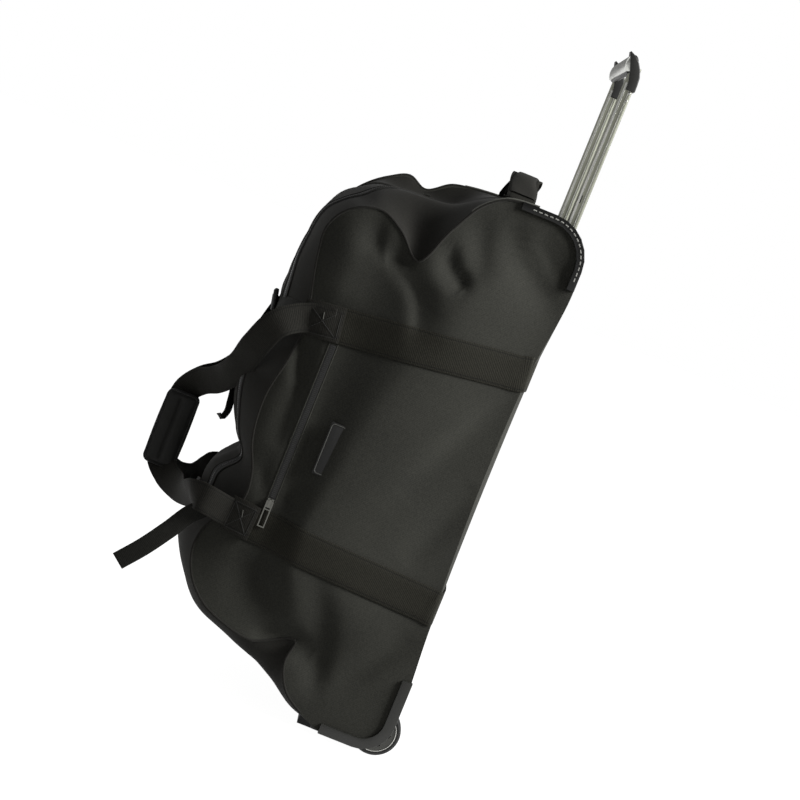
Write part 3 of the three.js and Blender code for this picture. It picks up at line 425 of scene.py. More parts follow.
# %% Rows of the three curves, in millimetres
rows = [
    # left seam     middle          right seam
    [(0, 118), (0, 118), (0, 118)],
    [(12, 300), (3, 300), (12, 300)],
    [(12, 560), (3, 560), (12, 560)],
    [(0, 724), (0, 724), (0, 724)],
    [(2.9, 742), (2.9, 742), (2.9, 742)],
    [(17, 765), (17, 765), (17, 765)],
    [(35.8, 777.6), (35.8, 777.6), (35.8, 777.6)],
    [(66.3, 782), (66.3, 782), (66.3, 782)],
    [(95, 782), (95, 783), (95, 783)],
    [(130, 776), (130, 780), (132, 782)],
    [(150, 762), (158, 766), (165, 779)],
    [(181, 712), (190, 746), (197, 773)],
    [(211, 655), (229, 740.2), (235, 751)],
    [(243, 684), (262, 738), (262, 762)],
    [(280, 701), (298, 731), (290, 749)],
    [(307, 694), (330, 713), (318, 727)],
    [(329, 676), (353, 686), (342, 694)],
    [(340, 652), (364, 650), (352, 655)],
    [(338, 620), (369, 605), (350, 610)],
    [(325, 560), (371, 560), (335, 560)],
    [(316, 525), (367, 525), (325, 525)],
    [(320, 475), (384, 470), (335, 470)],
    [(332, 405), (380, 395), (345, 400)],
    [(326, 347), (357, 346), (340, 345)],
    [(309, 303), (341, 318), (325, 315)],
    [(306, 272), (372, 282), (325, 280)],
    [(316, 243), (373, 240), (330, 243)],
    [(340, 216), (382, 190), (345, 205)],
    [(347, 180), (366, 150), (349, 165)],
    [(336, 147), (342, 116), (338, 135)],
    [(308, 117), (305, 86), (310, 105)],
    [(265, 98), (256, 68), (262, 84)],
    [(229, 91), (222, 58), (225, 70)],
    [(168, 110), (190, 45), (190, 56)],
    [(172, 82), (164, 28), (165, 36)],
    [(157, 46), (136, 13), (138, 16)],
    [(111, 15), (111, 9.5), (111, 10)],
]
LEFT_SEAM, MIDDLE, RIGHT_SEAM = (np.array([row[i] for row in rows], float) for i in range(3))
CUP_EDGE, CORNER_END, TOP_END, LID_START, LID_FOOT, BOTTOM_END = 4, 7, 9, 12, 26.7, 36
CUP_SIDE = 0.795     # the moulded cup takes the middle of the top back corner

# %% [markdown]
# ### Folds
# Cloth that is half empty folds where it is pulled. The pulls here are the two webbing bands, the stiff
# top back corner and the straps on the lid. Each fold is a line on the side panel with a depth and a
# width for each of its flanks. A cloth simulation would put them at random, so these are placed one
# by one. Everything sewn to the cloth is moved by the same folds.

# %% Folds on the left side: line, how deep, width of each flank (all mm)
left_folds = [
    ([(276, 690), (270, 660), (262, 640)], 7, 26, 12),
    ([(249, 642), (232, 648), (214, 655)], 9, 10, 24),
    ([(236, 638), (209, 627), (188, 607), (175, 578), (170, 556)], 8, 12, 30),
    ([(178, 690), (160, 664), (143, 650), (140, 640)], 13, 22, 12),
    ([(150, 745), (140, 715), (128, 680), (122, 655)], 5, 22, 16),
    ([(113, 756), (88, 722), (50, 692), (10, 664)], 6, 26, 14),
    ([(71, 750), (40, 728), (8, 700)], 6, 18, 12),
    ([(338, 500), (318, 497), (300, 455), (288, 424)], 12, 12, 20),
    ([(300, 440), (292, 400), (296, 350)], 7, 20, 26),
    ([(112, 352), (80, 415), (48, 480), (14, 540)], 5, 30, 18),
    ([(16, 400), (44, 330), (72, 268)], 4, 26, 16),
    ([(310, 330), (285, 300), (240, 285)], 5, 14, 22),
    ([(180, 205), (150, 160), (140, 118)], 6, 26, 20),
    ([(20, 176), (60, 120), (104, 62)], 5, 22, 14),
    ([(138, 150), (128, 90), (120, 44)], 7, 20, 16),
    ([(300, 200), (250, 160), (200, 112)], 5, 30, 24),
    ([(226, 100), (196, 108), (168, 112), (140, 104)], 12, 22, 16),
    ([(340, 560), (300, 556), (250, 548)], 4, 12, 18),
]
right_folds = [
    ([(245, 740), (225, 700), (220, 650)], 8, 26, 18),
    ([(120, 760), (88, 722), (50, 692), (10, 664)], 6, 26, 14),
    ([(330, 640), (280, 620), (215, 612)], 7, 22, 16),
    ([(338, 500), (318, 497), (300, 455), (288, 424)], 8, 12, 20),
    ([(112, 352), (80, 415), (48, 480), (14, 540)], 5, 30, 18),
    ([(325, 320), (285, 312), (230, 330), (170, 330)], 9, 18, 26),
    ([(200, 500), (150, 440), (130, 380)], 5, 26, 20),
    ([(250, 90), (215, 130), (190, 190)], 8, 24, 18),
    ([(20, 176), (60, 120), (104, 62)], 5, 22, 14),
    ([(300, 200), (250, 160), (200, 112)], 5, 30, 24),
]


# %% How deep the folds are at a point
def fold_depth(depth, height, folds):
    """Each fold is a groove along a smooth line, with a flank of its own width on either side."""
    total = np.zeros_like(depth)
    point = np.stack([depth, height], axis=-1)[:, None, :]
    for line, deep, before, after in folds:
        fine = np.linspace(0, len(line) - 1, 6 * (len(line) - 1) + 1)
        curve = spline(line, fine)
        start = curve[:-1]
        run = np.diff(curve, axis=0)
        reach = np.sum((point - start) * run, axis=2) / np.sum(run * run, axis=1)
        share = np.clip(reach, 0, 1)
        away = point - start - share[..., None] * run
        distance = np.linalg.norm(away, axis=2) + 1e-6
        turned = run[:, 0] * away[..., 1] - run[:, 1] * away[..., 0]
        signed = turned / np.linalg.norm(run, axis=1) / distance
        flank = after + (before - after) * ease(0.5 + 0.5 * signed)
        u = (np.arange(len(start)) + share) / len(start)
        fade = 0.15 + 0.85 * np.sin(np.pi * u) ** 0.7
        amount = deep * np.exp(-(distance / flank) ** 2) * fade
        weight = np.exp(-(distance - distance.min(axis=1, keepdims=True)) / 1.5)
        total += np.sum(amount * weight, axis=1) / np.sum(weight, axis=1)
    return total


# %% [markdown]
# ### Fill
# The load pushes each side panel out along a crest and lets it lean in towards the lid. One function
# does this to any points it is given, and presses the folds in too. The panels, the covers, the bands
# and the stitching all go through it, so that what is sewn together stays together.

# %% Fill and folds move everything that is sewn on
CREST_RISE = 19     # how far the fullest part of a side stands out (mm)
CREST_HEIGHTS = [140, 205, 271, 343, 410, 560]      # the crest's line up the side (mm)
CREST_DEPTHS = [170, 206, 212, 197, 189, 150]
FLAT_DEPTH = 262    # the swelling has run out at this depth and at the back (mm)
LEAN = 34           # how far a side leans in towards the lid (mm)
POCKET_DEPTH = 272  # the pocket zip's line stays flat between these heights (mm)
POCKET_FOOT, POCKET_TOP = 262, 512


def stuffed(points):
    """Presses the folds in and lets the filled side panels stand out a little."""
    out = points.copy()
    depth = (BACK - points[:, 0]) / MM
    height = points[:, 2] / MM
    rise = ease((height - 90) / 110) * ease((735 - height) / 110)
    crest = np.interp(height, CREST_HEIGHTS, CREST_DEPTHS)
    flank = np.where(depth < crest, crest, FLAT_DEPTH - crest)
    dome = CREST_RISE * np.cos(np.pi / 2 * np.clip((depth - crest) / flank, -1, 1)) ** 2 * rise
    lean = LEAN * ease((depth - 286) / 110) * rise
    out[:, 1] *= 1 - lean / (HALF / MM)
    for sign, folds in ((-1, left_folds), (1, right_folds)):
        aside = ease((sign * points[:, 1] / MM - 120) / 60)
        inward = fold_depth(depth, height, folds)
        keep_flat = ease((np.abs(depth - POCKET_DEPTH) - 6) / 16) if sign < 0 else 1.0
        on_zip = (height > POCKET_FOOT) & (height < POCKET_TOP)
        inward = np.where(on_zip, inward * keep_flat, inward)
        margin = ease((height - 20) / 60) * ease(depth / 14)
        out[:, 1] += sign * aside * (dome - inward * margin) * MM
    return out


# %% [markdown]
# ### The tube of cloth
# Between the seams each row of the tube bends in its own way: flat across the stiff back, level along
# the zip at the top end, rounded on the lid. A loft through many drawn sections would give the same
# surface, but a formula for the bend is easier to change in one place.

# %% A point of the tube of cloth
SAG_FROM = 0.68     # v on the left from which the top drops to its seam
LEVEL_TO = 0.8      # v on the right up to which the top stays level
NUDGE = 0.05        # half the step along s over which a slope is measured


def cover_point(s, v, lift=0.0):
    """s runs round the bag, v runs across it from -1 at the left seam to 1 at the right one."""
    edge = np.where(v[:, None] < 0, spline(LEFT_SEAM, s), spline(RIGHT_SEAM, s))
    middle = spline(MIDDLE, s)
    # Across, a row is flat on the back and rounded on the lid. On the left, the foot turns in steeply.
    near_zip = ease((s - 9) / 2) * ease((15 - s) / 2)
    steep = (near_zip + 1.4 * ease((s - 31) / 2)) * (v < 0)
    power = 2 + 2.4 * ease((s - 14) / 3) + 3.5 * steep + 4 * ease(4 - s)
    rounded = np.abs(v) ** power
    # Beside the zip across the top the cloth is level. It drops to the left seam and rises to the right.
    sag = np.clip((np.abs(v) - SAG_FROM) / (1 - SAG_FROM), 0, 1) ** 1.6
    rounded = rounded + (sag - rounded) * near_zip * (v < 0)
    level = (np.clip(np.abs(v) - LEVEL_TO, 0, 1) / (1 - LEVEL_TO)) ** 3
    share = (rounded + (level - rounded) * near_zip * (v > 0))[:, None]
    flat = middle + (edge - middle) * share
    # Soft dips in the lid where it is slack between the two bands.
    slack = ease((s - 13) / 3) * ease((35 - s) / 2)
    ripple = np.sin(v * 5.3 + s * 1.7) * np.sin(s * 2.1 + 1.0) * 3.5 * (1 - v ** 2) * slack
    last = len(rows) - 1
    ahead = spline(MIDDLE, np.clip(s + NUDGE, 0, last)) - spline(MIDDLE, np.clip(s - NUDGE, 0, last))
    normal = unit(np.stack([-ahead[:, 1], ahead[:, 0]], axis=1))
    flat = flat + normal * (ripple + lift / MM)[:, None]
    return np.stack([BACK - flat[:, 0] * MM, v * HALF, flat[:, 1] * MM], axis=1)


# %% Sew the covers
CELL = 6.0          # grid spacing (mm)
CLOTH = 1.6 * MM
HALF_SPAN = 190     # the half width in whole millimetres


def cover(name, first, last, left, right, material, slot, *nodes):
    along = stations(MIDDLE, first, last, CELL)
    across = np.linspace(left, right, max(2, int(round((right - left) * HALF_SPAN / CELL))) + 1)
    piece = laid_grid(name, along, across, lambda s, v: stuffed(cover_point(s, v)))
    flip(piece)
    thicken(piece, CLOTH)
    smooth(piece, 60)
    piece.data.materials.append(material)
    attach(piece, "bag")
    if nodes:
        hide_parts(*nodes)
    print(name, len(piece.data.polygons), "faces")
    return piece


cover("back_cover", 0, CUP_EDGE, -1, 1, BODY_FABRIC, "fabric", "back_panel")
cover("corner_cover_left", CUP_EDGE, CORNER_END, -1, -CUP_SIDE, BODY_FABRIC, "fabric")
cover("corner_cover_right", CUP_EDGE, CORNER_END, CUP_SIDE, 1, BODY_FABRIC, "fabric")
cover("top_cover", CORNER_END, LID_START, -1, 1, SHADED_COVER_TWILL, "fabric", "top_panel")
cover("lid_cover", LID_START, LID_FOOT, -1, 1, SHADED_COVER_TWILL, "fabric", "lid_panel",
      "lid_border_left", "lid_border_right")
cover("bottom_cover", LID_FOOT, BOTTOM_END, -1, 1, SHADED_COVER_TWILL, "fabric", "bottom_panel")

# %% [markdown]
# ### Side panels
# A side panel is one flat piece of cloth sewn all round. Its grid runs round the seam one way and from
# the seam to a line up the middle the other way, so that its rim is exactly the covers' rim.

# %% The seam of a side panel, all the way round
heel = [(44 - 44 * math.sin(a), 52 - 44 * math.cos(a)) for a in np.linspace(0, math.pi / 2, 5)]
boot_edge = [(92, 8.5), (68, 8)] + heel
RING_LAST = len(rows) + len(boot_edge)      # the last row, where the ring closes
CORE_DEPTH, CORE_LOW, CORE_HIGH = 165.0, 175, 600       # the line up the middle (mm)
RAYS = 31
# A ray from the seam to the middle line is bent, so that none crosses another at the two notches.
BEND_ROWS = [0, 9, 11, 12, 13, 15, 28, 31, 32, 33, 34, 36, RING_LAST]
BEND_DEPTHS = [150, 150, 178, 205, 226, 240, 240, 210, 188, 164, 150, 130, 130]


# %% Sew the side panels
def side_panel(name, seam, sign, node, material):
    ring = np.array(list(map(tuple, seam)) + boot_edge + [tuple(seam[0])])
    along = stations(ring, 0, RING_LAST, CELL)

    def place(s, r):
        edge = spline(ring, s)
        height = np.clip(edge[:, 1], CORE_LOW, CORE_HIGH)
        core = np.stack([np.full(len(s), CORE_DEPTH), height], axis=1)
        bend = np.stack([np.interp(s, BEND_ROWS, BEND_DEPTHS), height], axis=1)
        share = r[:, None]
        flat = (1 - share) ** 2 * edge + 2 * share * (1 - share) * bend + share ** 2 * core
        y = np.full(len(s), sign * HALF)
        return stuffed(np.stack([BACK - flat[:, 0] * MM, y, flat[:, 1] * MM], axis=1))

    piece = laid_grid(name, along, np.linspace(0, 1, RAYS), place)
    face_out(piece, merge=0.2 * MM)
    towards = np.mean([polygon.normal.y * polygon.area for polygon in piece.data.polygons])
    if towards * sign < 0:
        flip(piece)
    thicken(piece, CLOTH)
    smooth(piece, 60)
    piece.data.materials.append(material)
    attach(piece, "bag")
    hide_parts(node)
    print(name, len(piece.data.polygons), "faces")
    return piece


side_panel("side_cover_left", LEFT_SEAM, -1, "side_panel_left", BODY_FABRIC)
side_panel("side_cover_right", RIGHT_SEAM, 1, "side_panel_right", BODY_FABRIC)

# %% [markdown]
# ### Lining
# A loose lining closes the tubes off from the load. It is a single sheet, hung with a little slack,
# and narrower than the bag so that the folds of the side panels never reach it.

# %% Lining behind the tubes
lining_low, lining_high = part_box("tube_lining")
LINING_X = (lining_low.x + lining_high.x) / 2
LINING_HALF = 168 * MM
SLACK = 2.5 * MM


def hang(y, z):
    wave = np.sin(y * 31) * np.sin(z * 17 + 0.6)
    return np.stack([LINING_X - SLACK * wave, y, z], axis=1)


lining = laid_grid("lining_sheet", np.linspace(-LINING_HALF, LINING_HALF, 41),
                   np.linspace(lining_low.z, lining_high.z, 61), hang)
thicken(lining, 0.8 * MM, offset=0.0)
smooth(lining, 60)
lining.data.materials.append(LINING)
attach(lining, "bag")
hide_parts("tube_lining")
print("lining:", len(lining.data.polygons), "faces")

# %% [markdown]
# ### Piping
# The seam between each side panel and the covers is corded: a thin cord in a bias strip of the same
# cloth. It is a tube swept along the seam curve, so it goes wherever the cloth went.


# %% A round cord along points
def tube(name, points, radius, sides=2, closed=False):
    start_clean()
    curve = bpy.data.curves.new(name, "CURVE")
    curve.dimensions = "3D"
    curve.bevel_depth = radius
    curve.bevel_resolution = sides
    curve.use_fill_caps = True
    line = curve.splines.new("POLY")
    line.points.add(len(points) - 1)
    line.use_cyclic_u = closed
    for point, place in zip(line.points, points):
        point.co = (*place, 1)
    piece = bpy.data.objects.new(name, curve)
    bpy.context.scene.collection.objects.link(piece)
    make_active(piece)
    bpy.ops.object.convert(target="MESH")
    piece = bpy.context.object
    face_out(piece, merge=0.01 * MM)
    smooth(piece, 60)
    return piece


def finish_piece(piece, material, body="bag", nodes=()):
    piece.data.materials.clear()
    piece.data.materials.append(material)
    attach(piece, body)
    if nodes:
        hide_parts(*nodes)
    return piece


# %% Piping on both lid seams
PIPING = 2.0 * MM


def seam_cord(name, side, first, last, step, lift, radius):
    """A cord along one of the two side seams."""
    seam = LEFT_SEAM if side == "left" else RIGHT_SEAM
    s = stations(seam, first, last, step)
    line = stuffed(cover_point(s, np.full(len(s), float(dict(SIDES)[side])), lift=lift))
    return tube(f"{name}_{side}", line, radius)


for side, sign in SIDES:
    cord = seam_cord("piping_cord", side, TOP_END - 1, BOTTOM_END - 0.3, 5.0, 0.6 * MM, PIPING)
    finish_piece(cord, SHADED_COVER_TWILL, nodes=[f"piping_{side}"])
    print(cord.name, len(cord.data.polygons), "faces")

# %% [markdown]
# ## Webbing bands
# Two 50 mm bands go round the bag: up one side panel, across the stiff back and down the other side.
# They are sewn to the cloth, so each is laid on the unfolded panel first and then takes the panel's
# own fill and folds. The ribs and the stitching come from the webbing material.


# %% A strap along a path
def strap(name, path, across_at, width, thick, step, material, nodes=(), folds=False, body="bag"):
    """path is points in metres. across_at gives the direction of the strap's width at each."""
    path = np.array(path, float)
    across_at = np.array(across_at, float)
    along = stations(path / MM, 0, len(path) - 1, step)
    across = np.linspace(-width / 2, width / 2, 5)

    def place(s, v):
        last = len(path) - 1
        point = spline(path, s)
        ahead = spline(path, np.clip(s + 0.02, 0, last)) - spline(path, np.clip(s - 0.02, 0, last))
        ahead = unit(ahead)
        side = spline(across_at, s)
        side = unit(side - np.sum(side * ahead, axis=1)[:, None] * ahead)
        points = point + side * v[:, None]
        return stuffed(points) if folds else points

    piece = laid_grid(name, along, across, place)
    thicken(piece, thick, offset=0.0)
    face_out(piece, merge=0.001 * MM)
    apply_modifier(piece, "BEVEL", width=0.35 * thick, segments=2, limit_method="ANGLE")
    smooth(piece, 60)
    return finish_piece(piece, material, body, nodes)


# %% Girth bands
band_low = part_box("girth_band_upper")[0]
BAND_Y = (-band_low.y + HALF) / 2 + 0.3 * MM
BAND_FRONT = 314                                        # depth of a band's sewn end (mm)
BAND_STOPS = [BAND_FRONT, 260, 200, 150, 100, 50, 20]   # depths up the side panel (mm)
BACK_STOPS = np.array([-0.985, -0.94, -0.86, -0.63, -0.26])     # v across the stiff back
bands = {"upper": (570, 531), "lower": (225, 243)}      # height at the back and at the end (mm)


def band_height(name, depth):
    at_back, at_end = bands[name]
    return at_back + (at_end - at_back) * depth / BAND_FRONT


def band_slope(name):
    at_back, at_end = bands[name]
    return (at_end - at_back) / BAND_FRONT


back_rows = np.linspace(0, CUP_EDGE, 401)
back_edge = spline(LEFT_SEAM, back_rows)
UPRIGHT = Vector((0, 0, 1))
for name, (at_back, at_end) in bands.items():
    leg = [(BACK - depth * MM, -BAND_Y, band_height(name, depth) * MM) for depth in BAND_STOPS]
    row = np.interp(at_back, back_edge[:, 1], back_rows)
    edge_depth = np.interp(at_back, back_edge[:, 1], back_edge[:, 0])
    behind = [(BACK - (edge_depth + 1) * MM, -BAND_Y + 0.3 * MM, at_back * MM)]
    for x, y, z in cover_point(np.full(len(BACK_STOPS), row), BACK_STOPS):
        behind.append((x + 0.9 * MM, y, at_back * MM))
    half = leg + behind
    path = half + [(x, -y, z) for x, y, z in reversed(half)]
    tilt = [Vector((band_slope(name), 0, 1)).normalized()] * len(leg) + [UPRIGHT] * len(behind)
    strap(f"band_{name}", path, tilt + tilt[::-1], BAND_WIDTH, 1.4 * MM, 6.0, BAND_WEBBING,
          [f"girth_band_{name}"], folds=True)
print("bands laid")

# %% [markdown]
# ## Carry handles
# Each carry handle is one 40 mm strap sewn on over the ends of both bands. The two straps come
# together in the padded wrap in front of the lid. The route is a given list of points: a strap
# this short and stiff doesn't hang like a cord, it springs in a curve between its two sewn ends.

# %% Route of a carry strap: depth, distance from the bag's middle, height (mm)
ON_BAND = 193.1
carry_route = [
    (282, ON_BAND, 536), (314, ON_BAND, 531), (352, ON_BAND + 1, 508), (370, ON_BAND - 17, 470),
    (380, 132, 435), (392, 92, 410), (409, 52, 391), (430, 18, 377), (443, 1.3, 360), (444, 1.3, 300),
    (443, 1.3, 254), (428, 20, 240), (406, 58, 233), (391, 105, 235), (381, 150, 242),
    (375, ON_BAND - 14, 248), (364, ON_BAND - 1, 250), (314, ON_BAND, 243), (282, ON_BAND, 243),
]


def flat_ways(route):
    """The way across a strap that hangs with its face to the side, at each point of its route."""
    last = len(route) - 1
    ways = []
    for i in range(last + 1):
        ahead = Vector(route[min(i + 1, last)]) - Vector(route[max(i - 1, 0)])
        ways.append(ahead.cross(Vector((0, 1, 0))).normalized())
    return ways


for side, sign in SIDES:
    route = [(BACK - depth * MM, sign * y * MM, z * MM) for depth, y, z in carry_route]
    sewn = [0, 1, len(route) - 2, len(route) - 1]
    for i, place in zip(sewn, stuffed(np.array([route[i] for i in sewn]))):
        route[i] = tuple(place)
    strap(f"carry_webbing_{side}", route, flat_ways(route), STRAP_WIDTH, 2.0 * MM, 6.0, STRAP_WEBBING,
          [f"carry_strap_{side}"])
print("carry straps laid through", len(carry_route), "points")

# %% [markdown]
# ### Patches over the sewn ends
# A short piece of the band's webbing covers each sewn end and is stitched all round, with a cross
# inside. The stitching is a thick polyester thread, so each row is a thin cord let into the patch.

# %% Patches and their stitching
PATCH_Y = (ON_BAND + 1.8) * MM
PATCH_WIDTH = BAND_WIDTH - 1 * MM
SEAM_ALLOWANCE = 5                      # from a patch's end to its stitching (mm)
STITCH_REACH = 19 * MM                  # from a patch's middle line to its stitching
THREAD_LIFT, TACK_LIFT = 0.7 * MM, 0.8 * MM
patch_depths = {"upper": (326, 270), "lower": (322, 281)}


def on_patch(name, sign, depth, aside, lift=0.0):
    z = band_height(name, depth) * MM + aside
    return (BACK - depth * MM + aside * band_slope(name), sign * (PATCH_Y + lift), z)


def box_stitch(name, sign, first, last):
    """A row round the patch and a cross inside it, as points close enough to follow the folds."""
    c = STITCH_REACH
    turns = [(first, -c), (first, c), (last, c), (last, -c), (first, -c), (last, c), (last, -c), (first, c)]
    line = np.array([on_patch(name, sign, depth, aside, THREAD_LIFT) for depth, aside in turns])
    dense = line[:1]
    for start, end in zip(line[:-1], line[1:]):
        dense = np.concatenate([dense, start + (end - start) * np.linspace(0.1, 1, 10)[:, None]])
    return stuffed(dense)


def bar_tack(name, sign, middle):
    """Three points of a short slanted bar of close stitches."""
    bar = [on_patch(name, sign, middle + k, 7 * MM, TACK_LIFT) for k in (-1, 0, 1)]
    return stuffed(np.array(bar) + np.array([[0, 0, -5 * MM], [0, 0, 0], [0, 0, 5 * MM]]))


for name, (front, rear) in patch_depths.items():
    for side, sign in SIDES:
        path = [on_patch(name, sign, depth, 0) for depth in np.linspace(front, rear, 6)]
        strap(f"band_patch_{name}_{side}", path, [(band_slope(name), 0, 1)] * 6, PATCH_WIDTH, 1.2 * MM, 5.0,
              STRAP_WEBBING, folds=True)
        first, last = front - SEAM_ALLOWANCE, rear + SEAM_ALLOWANCE
        stitching = tube(f"box_stitch_{name}_{side}", box_stitch(name, sign, first, last), 0.45 * MM)
        finish_piece(stitching, THREAD)
        tack = tube(f"bar_tack_{name}_{side}", bar_tack(name, sign, (first + last) / 2), 0.6 * MM)
        finish_piece(tack, BINDING)
print("patches sewn:", 2 * len(patch_depths))

# %% [markdown]
# ### Padded wrap
# The wrap is a foam pad in knit cloth, folded round both straps and closed along its front. It starts
# as a block a little smaller than the pad, is remeshed into even small faces, and a cloth simulation
# with air pressure inside swells it as the foam does. The sewn channel is pressed in afterwards.

# %% Inflate a soft block
wrap_low, wrap_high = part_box("handle_wrap")
WRAP_SHIFT = Vector((6 * MM, 0, 14 * MM))      # pulled up against the bag by the straps' own spring
wrap_low += WRAP_SHIFT
wrap_high += WRAP_SHIFT


def move_no_further(piece, before, limit):
    step = places_of(piece) - before
    length = np.linalg.norm(step, axis=1)[:, None] + 1e-12
    move_to(piece, before + step * np.minimum(1, limit / length))


def inflated(name, low, high, shrink, round_edge, limit):
    start_clean()
    middle = (low + high) / 2
    bpy.ops.mesh.primitive_cube_add(size=1, location=middle)
    piece = bpy.context.object
    piece.name = name
    piece.dimensions = (high - low) - Vector((shrink, shrink, shrink)) * 2
    bpy.ops.object.transform_apply(location=True, rotation=True, scale=True)
    apply_modifier(piece, "BEVEL", width=round_edge, segments=4)
    apply_modifier(piece, "REMESH", mode="VOXEL", voxel_size=4 * MM)
    before = places_of(piece)
    cloth = piece.modifiers.new("Cloth", "CLOTH")
    cloth.settings.use_pressure = True
    cloth.settings.uniform_pressure_force = 4.0
    cloth.settings.effector_weights.gravity = 0
    for step in range(1, 21):
        bpy.context.scene.frame_set(step)
    make_active(piece)
    bpy.ops.object.modifier_apply(modifier="Cloth")
    move_no_further(piece, before, limit)
    bpy.context.scene.frame_set(1)
    apply_modifier(piece, "SUBSURF", levels=1, render_levels=1)
    return piece


# %% The wrap and its seams
wrap = inflated("padded_wrap", wrap_low, wrap_high, 3 * MM, 9 * MM, 5 * MM)
wrap_middle = (wrap_low + wrap_high) / 2
SEAM_X, SEAM_Z = 20 * MM, 52 * MM       # the sewn line near the pad's edge, from the pad's middle
SEAM_HALF, CHANNEL_HALF = 1.6 * MM, 3.2 * MM
SEAM_DEEP, CHANNEL_DEEP = 1.6, 3.2      # mm
wrap_places = places_of(wrap)
local = wrap_places - np.array(wrap_middle)
on_face = ease((np.abs(local[:, 1]) - 8 * MM) / (6 * MM))
lengthwise = ease((SEAM_Z - np.abs(local[:, 2])) / (12 * MM))
channel = np.exp(-(local[:, 0] / CHANNEL_HALF) ** 2) * lengthwise
rim_x = np.exp(-((np.abs(local[:, 0]) - SEAM_X) / SEAM_HALF) ** 2) * lengthwise
rim_z = np.exp(-((np.abs(local[:, 2]) - SEAM_Z) / SEAM_HALF) ** 2)
deep = np.clip(channel * CHANNEL_DEEP + np.maximum(rim_x, rim_z) * SEAM_DEEP, 0, CHANNEL_DEEP)
wrap_places[:, 1] -= np.sign(local[:, 1]) * deep * MM * on_face
move_to(wrap, wrap_places)
smooth(wrap, 180)
finish_piece(wrap, KNIT, nodes=["handle_wrap"])
print("wrap", len(wrap.data.polygons), "faces")


# %% Edge binding of the wrap
def rounded_loop(half_a, half_b, radius, count=6):
    """Points round a rectangle with round corners, as pairs."""
    loop = []
    for k, (sa, sb) in enumerate(((1, 1), (-1, 1), (-1, -1), (1, -1))):
        for i in range(count + 1):
            angle = math.pi / 2 * (k + i / count)
            loop.append((sa * (half_a - radius) + radius * math.cos(angle),
                         sb * (half_b - radius) + radius * math.sin(angle)))
    return loop


half_wrap = (wrap_high - wrap_low) / 2
BINDING_INSET = 4.4 * MM
for face, sign in (("near", -1), ("far", 1)):
    y = wrap_middle.y + sign * (half_wrap.y - 4.5 * MM)
    loop = rounded_loop(half_wrap.x - BINDING_INSET, half_wrap.z - BINDING_INSET, 9 * MM)
    rim = tube(f"wrap_binding_{face}", [(wrap_middle.x + a, y, wrap_middle.z + b) for a, b in loop],
               1.1 * MM, closed=True)
    finish_piece(rim, KNIT)

# %% [markdown]
# ## Straps on the lid
# A 25 mm strap crosses the lid at each band and is drawn tight by a side-release buckle. What is left
# over hangs as a loose tail. The straps are laid on the same surface as the lid, a little above it.


# %% A place on the cover, with the way out of the cloth
def on_cover(s, v, lift=0.0):
    s = np.asarray(s, float)
    v = np.asarray(v, float)
    along = stuffed(cover_point(s + 0.03, v)) - stuffed(cover_point(s - 0.03, v))
    aside = stuffed(cover_point(s, v + 0.01)) - stuffed(cover_point(s, v - 0.01))
    out = unit(np.cross(aside, along))
    return stuffed(cover_point(s, v)) + out * lift, out


# %% Straps across the lid
lid_rows = {"upper": 19.83, "lower": 26.0}
BUCKLE_V = -0.49
for name, s in lid_rows.items():
    v = np.linspace(-0.97, 0.97, 17)
    path, out = on_cover(np.full(len(v), s), v, lift=1.6 * MM)
    strap(f"lid_strap_{name}", path, [(0, 0, 1)] * len(v), TAIL_WIDTH, 1.4 * MM, 6.0, TAIL_WEBBING,
          [f"compression_strap_{name}"])

# %% [markdown]
# ### Loose tails
# The loose end of each strap is stiff webbing, so it doesn't hang straight down. The upper one drops
# along the lid and turns up at its end, and the lower one sticks out and twists. Each follows a few
# points measured from its strap.

# %% Loose tails: forward of the lid, across, up from the strap (mm)
tails = {
    "upper": [(2, -62, 4), (6, -62, -10), (13, -64, -40), (17, -63, -85), (17, -60, -125),
              (13, -58, -158), (12, -58, -176), (17, -58, -186), (22, -58, -181)],
    "lower": [(3, -168, 4), (12, -174, -3), (36, -179, -20), (60, -181, -54), (83, -181, -88),
              (106, -178, -121)],
}
for name, tail in tails.items():
    route = []
    for forward, y, up in tail:
        lid = on_cover([lid_rows[name]], [y * MM / HALF])[0]
        route.append((lid[0, 0] - forward * MM, y * MM, bands[name][1] * MM + up * MM))
    across = []
    for i, flat in enumerate(flat_ways(route)):
        share = min(1, i / 2) if name == "lower" else 0.25
        across.append(Vector((0, 1, 0)).lerp(flat, share))
    strap(f"lid_strap_tail_{name}", route, across, TAIL_WIDTH, 1.5 * MM, 4.0, TAIL_WEBBING)
    print("tail of the", name, "strap, points:", len(route))

# %% [markdown]
# ### Side-release buckles
# Each buckle is a moulded body with a window at each side, where the two spring arms show, and a bar
# that the strap turns round. It is modelled lying flat and is then stood on the lid.


# %% Blocks and buckles
def block(name, size, place, bevel, segments=3):
    start_clean()
    bpy.ops.mesh.primitive_cube_add(size=1, location=place)
    piece = bpy.context.object
    piece.name = name
    piece.dimensions = size
    bpy.ops.object.transform_apply(location=True, rotation=True, scale=True)
    apply_modifier(piece, "BEVEL", width=bevel, segments=segments)
    return piece


def joined(name, pieces):
    start_clean()
    for piece in pieces:
        piece.select_set(True)
    bpy.context.view_layer.objects.active = pieces[0]
    bpy.ops.object.join()
    pieces[0].name = name
    return pieces[0]


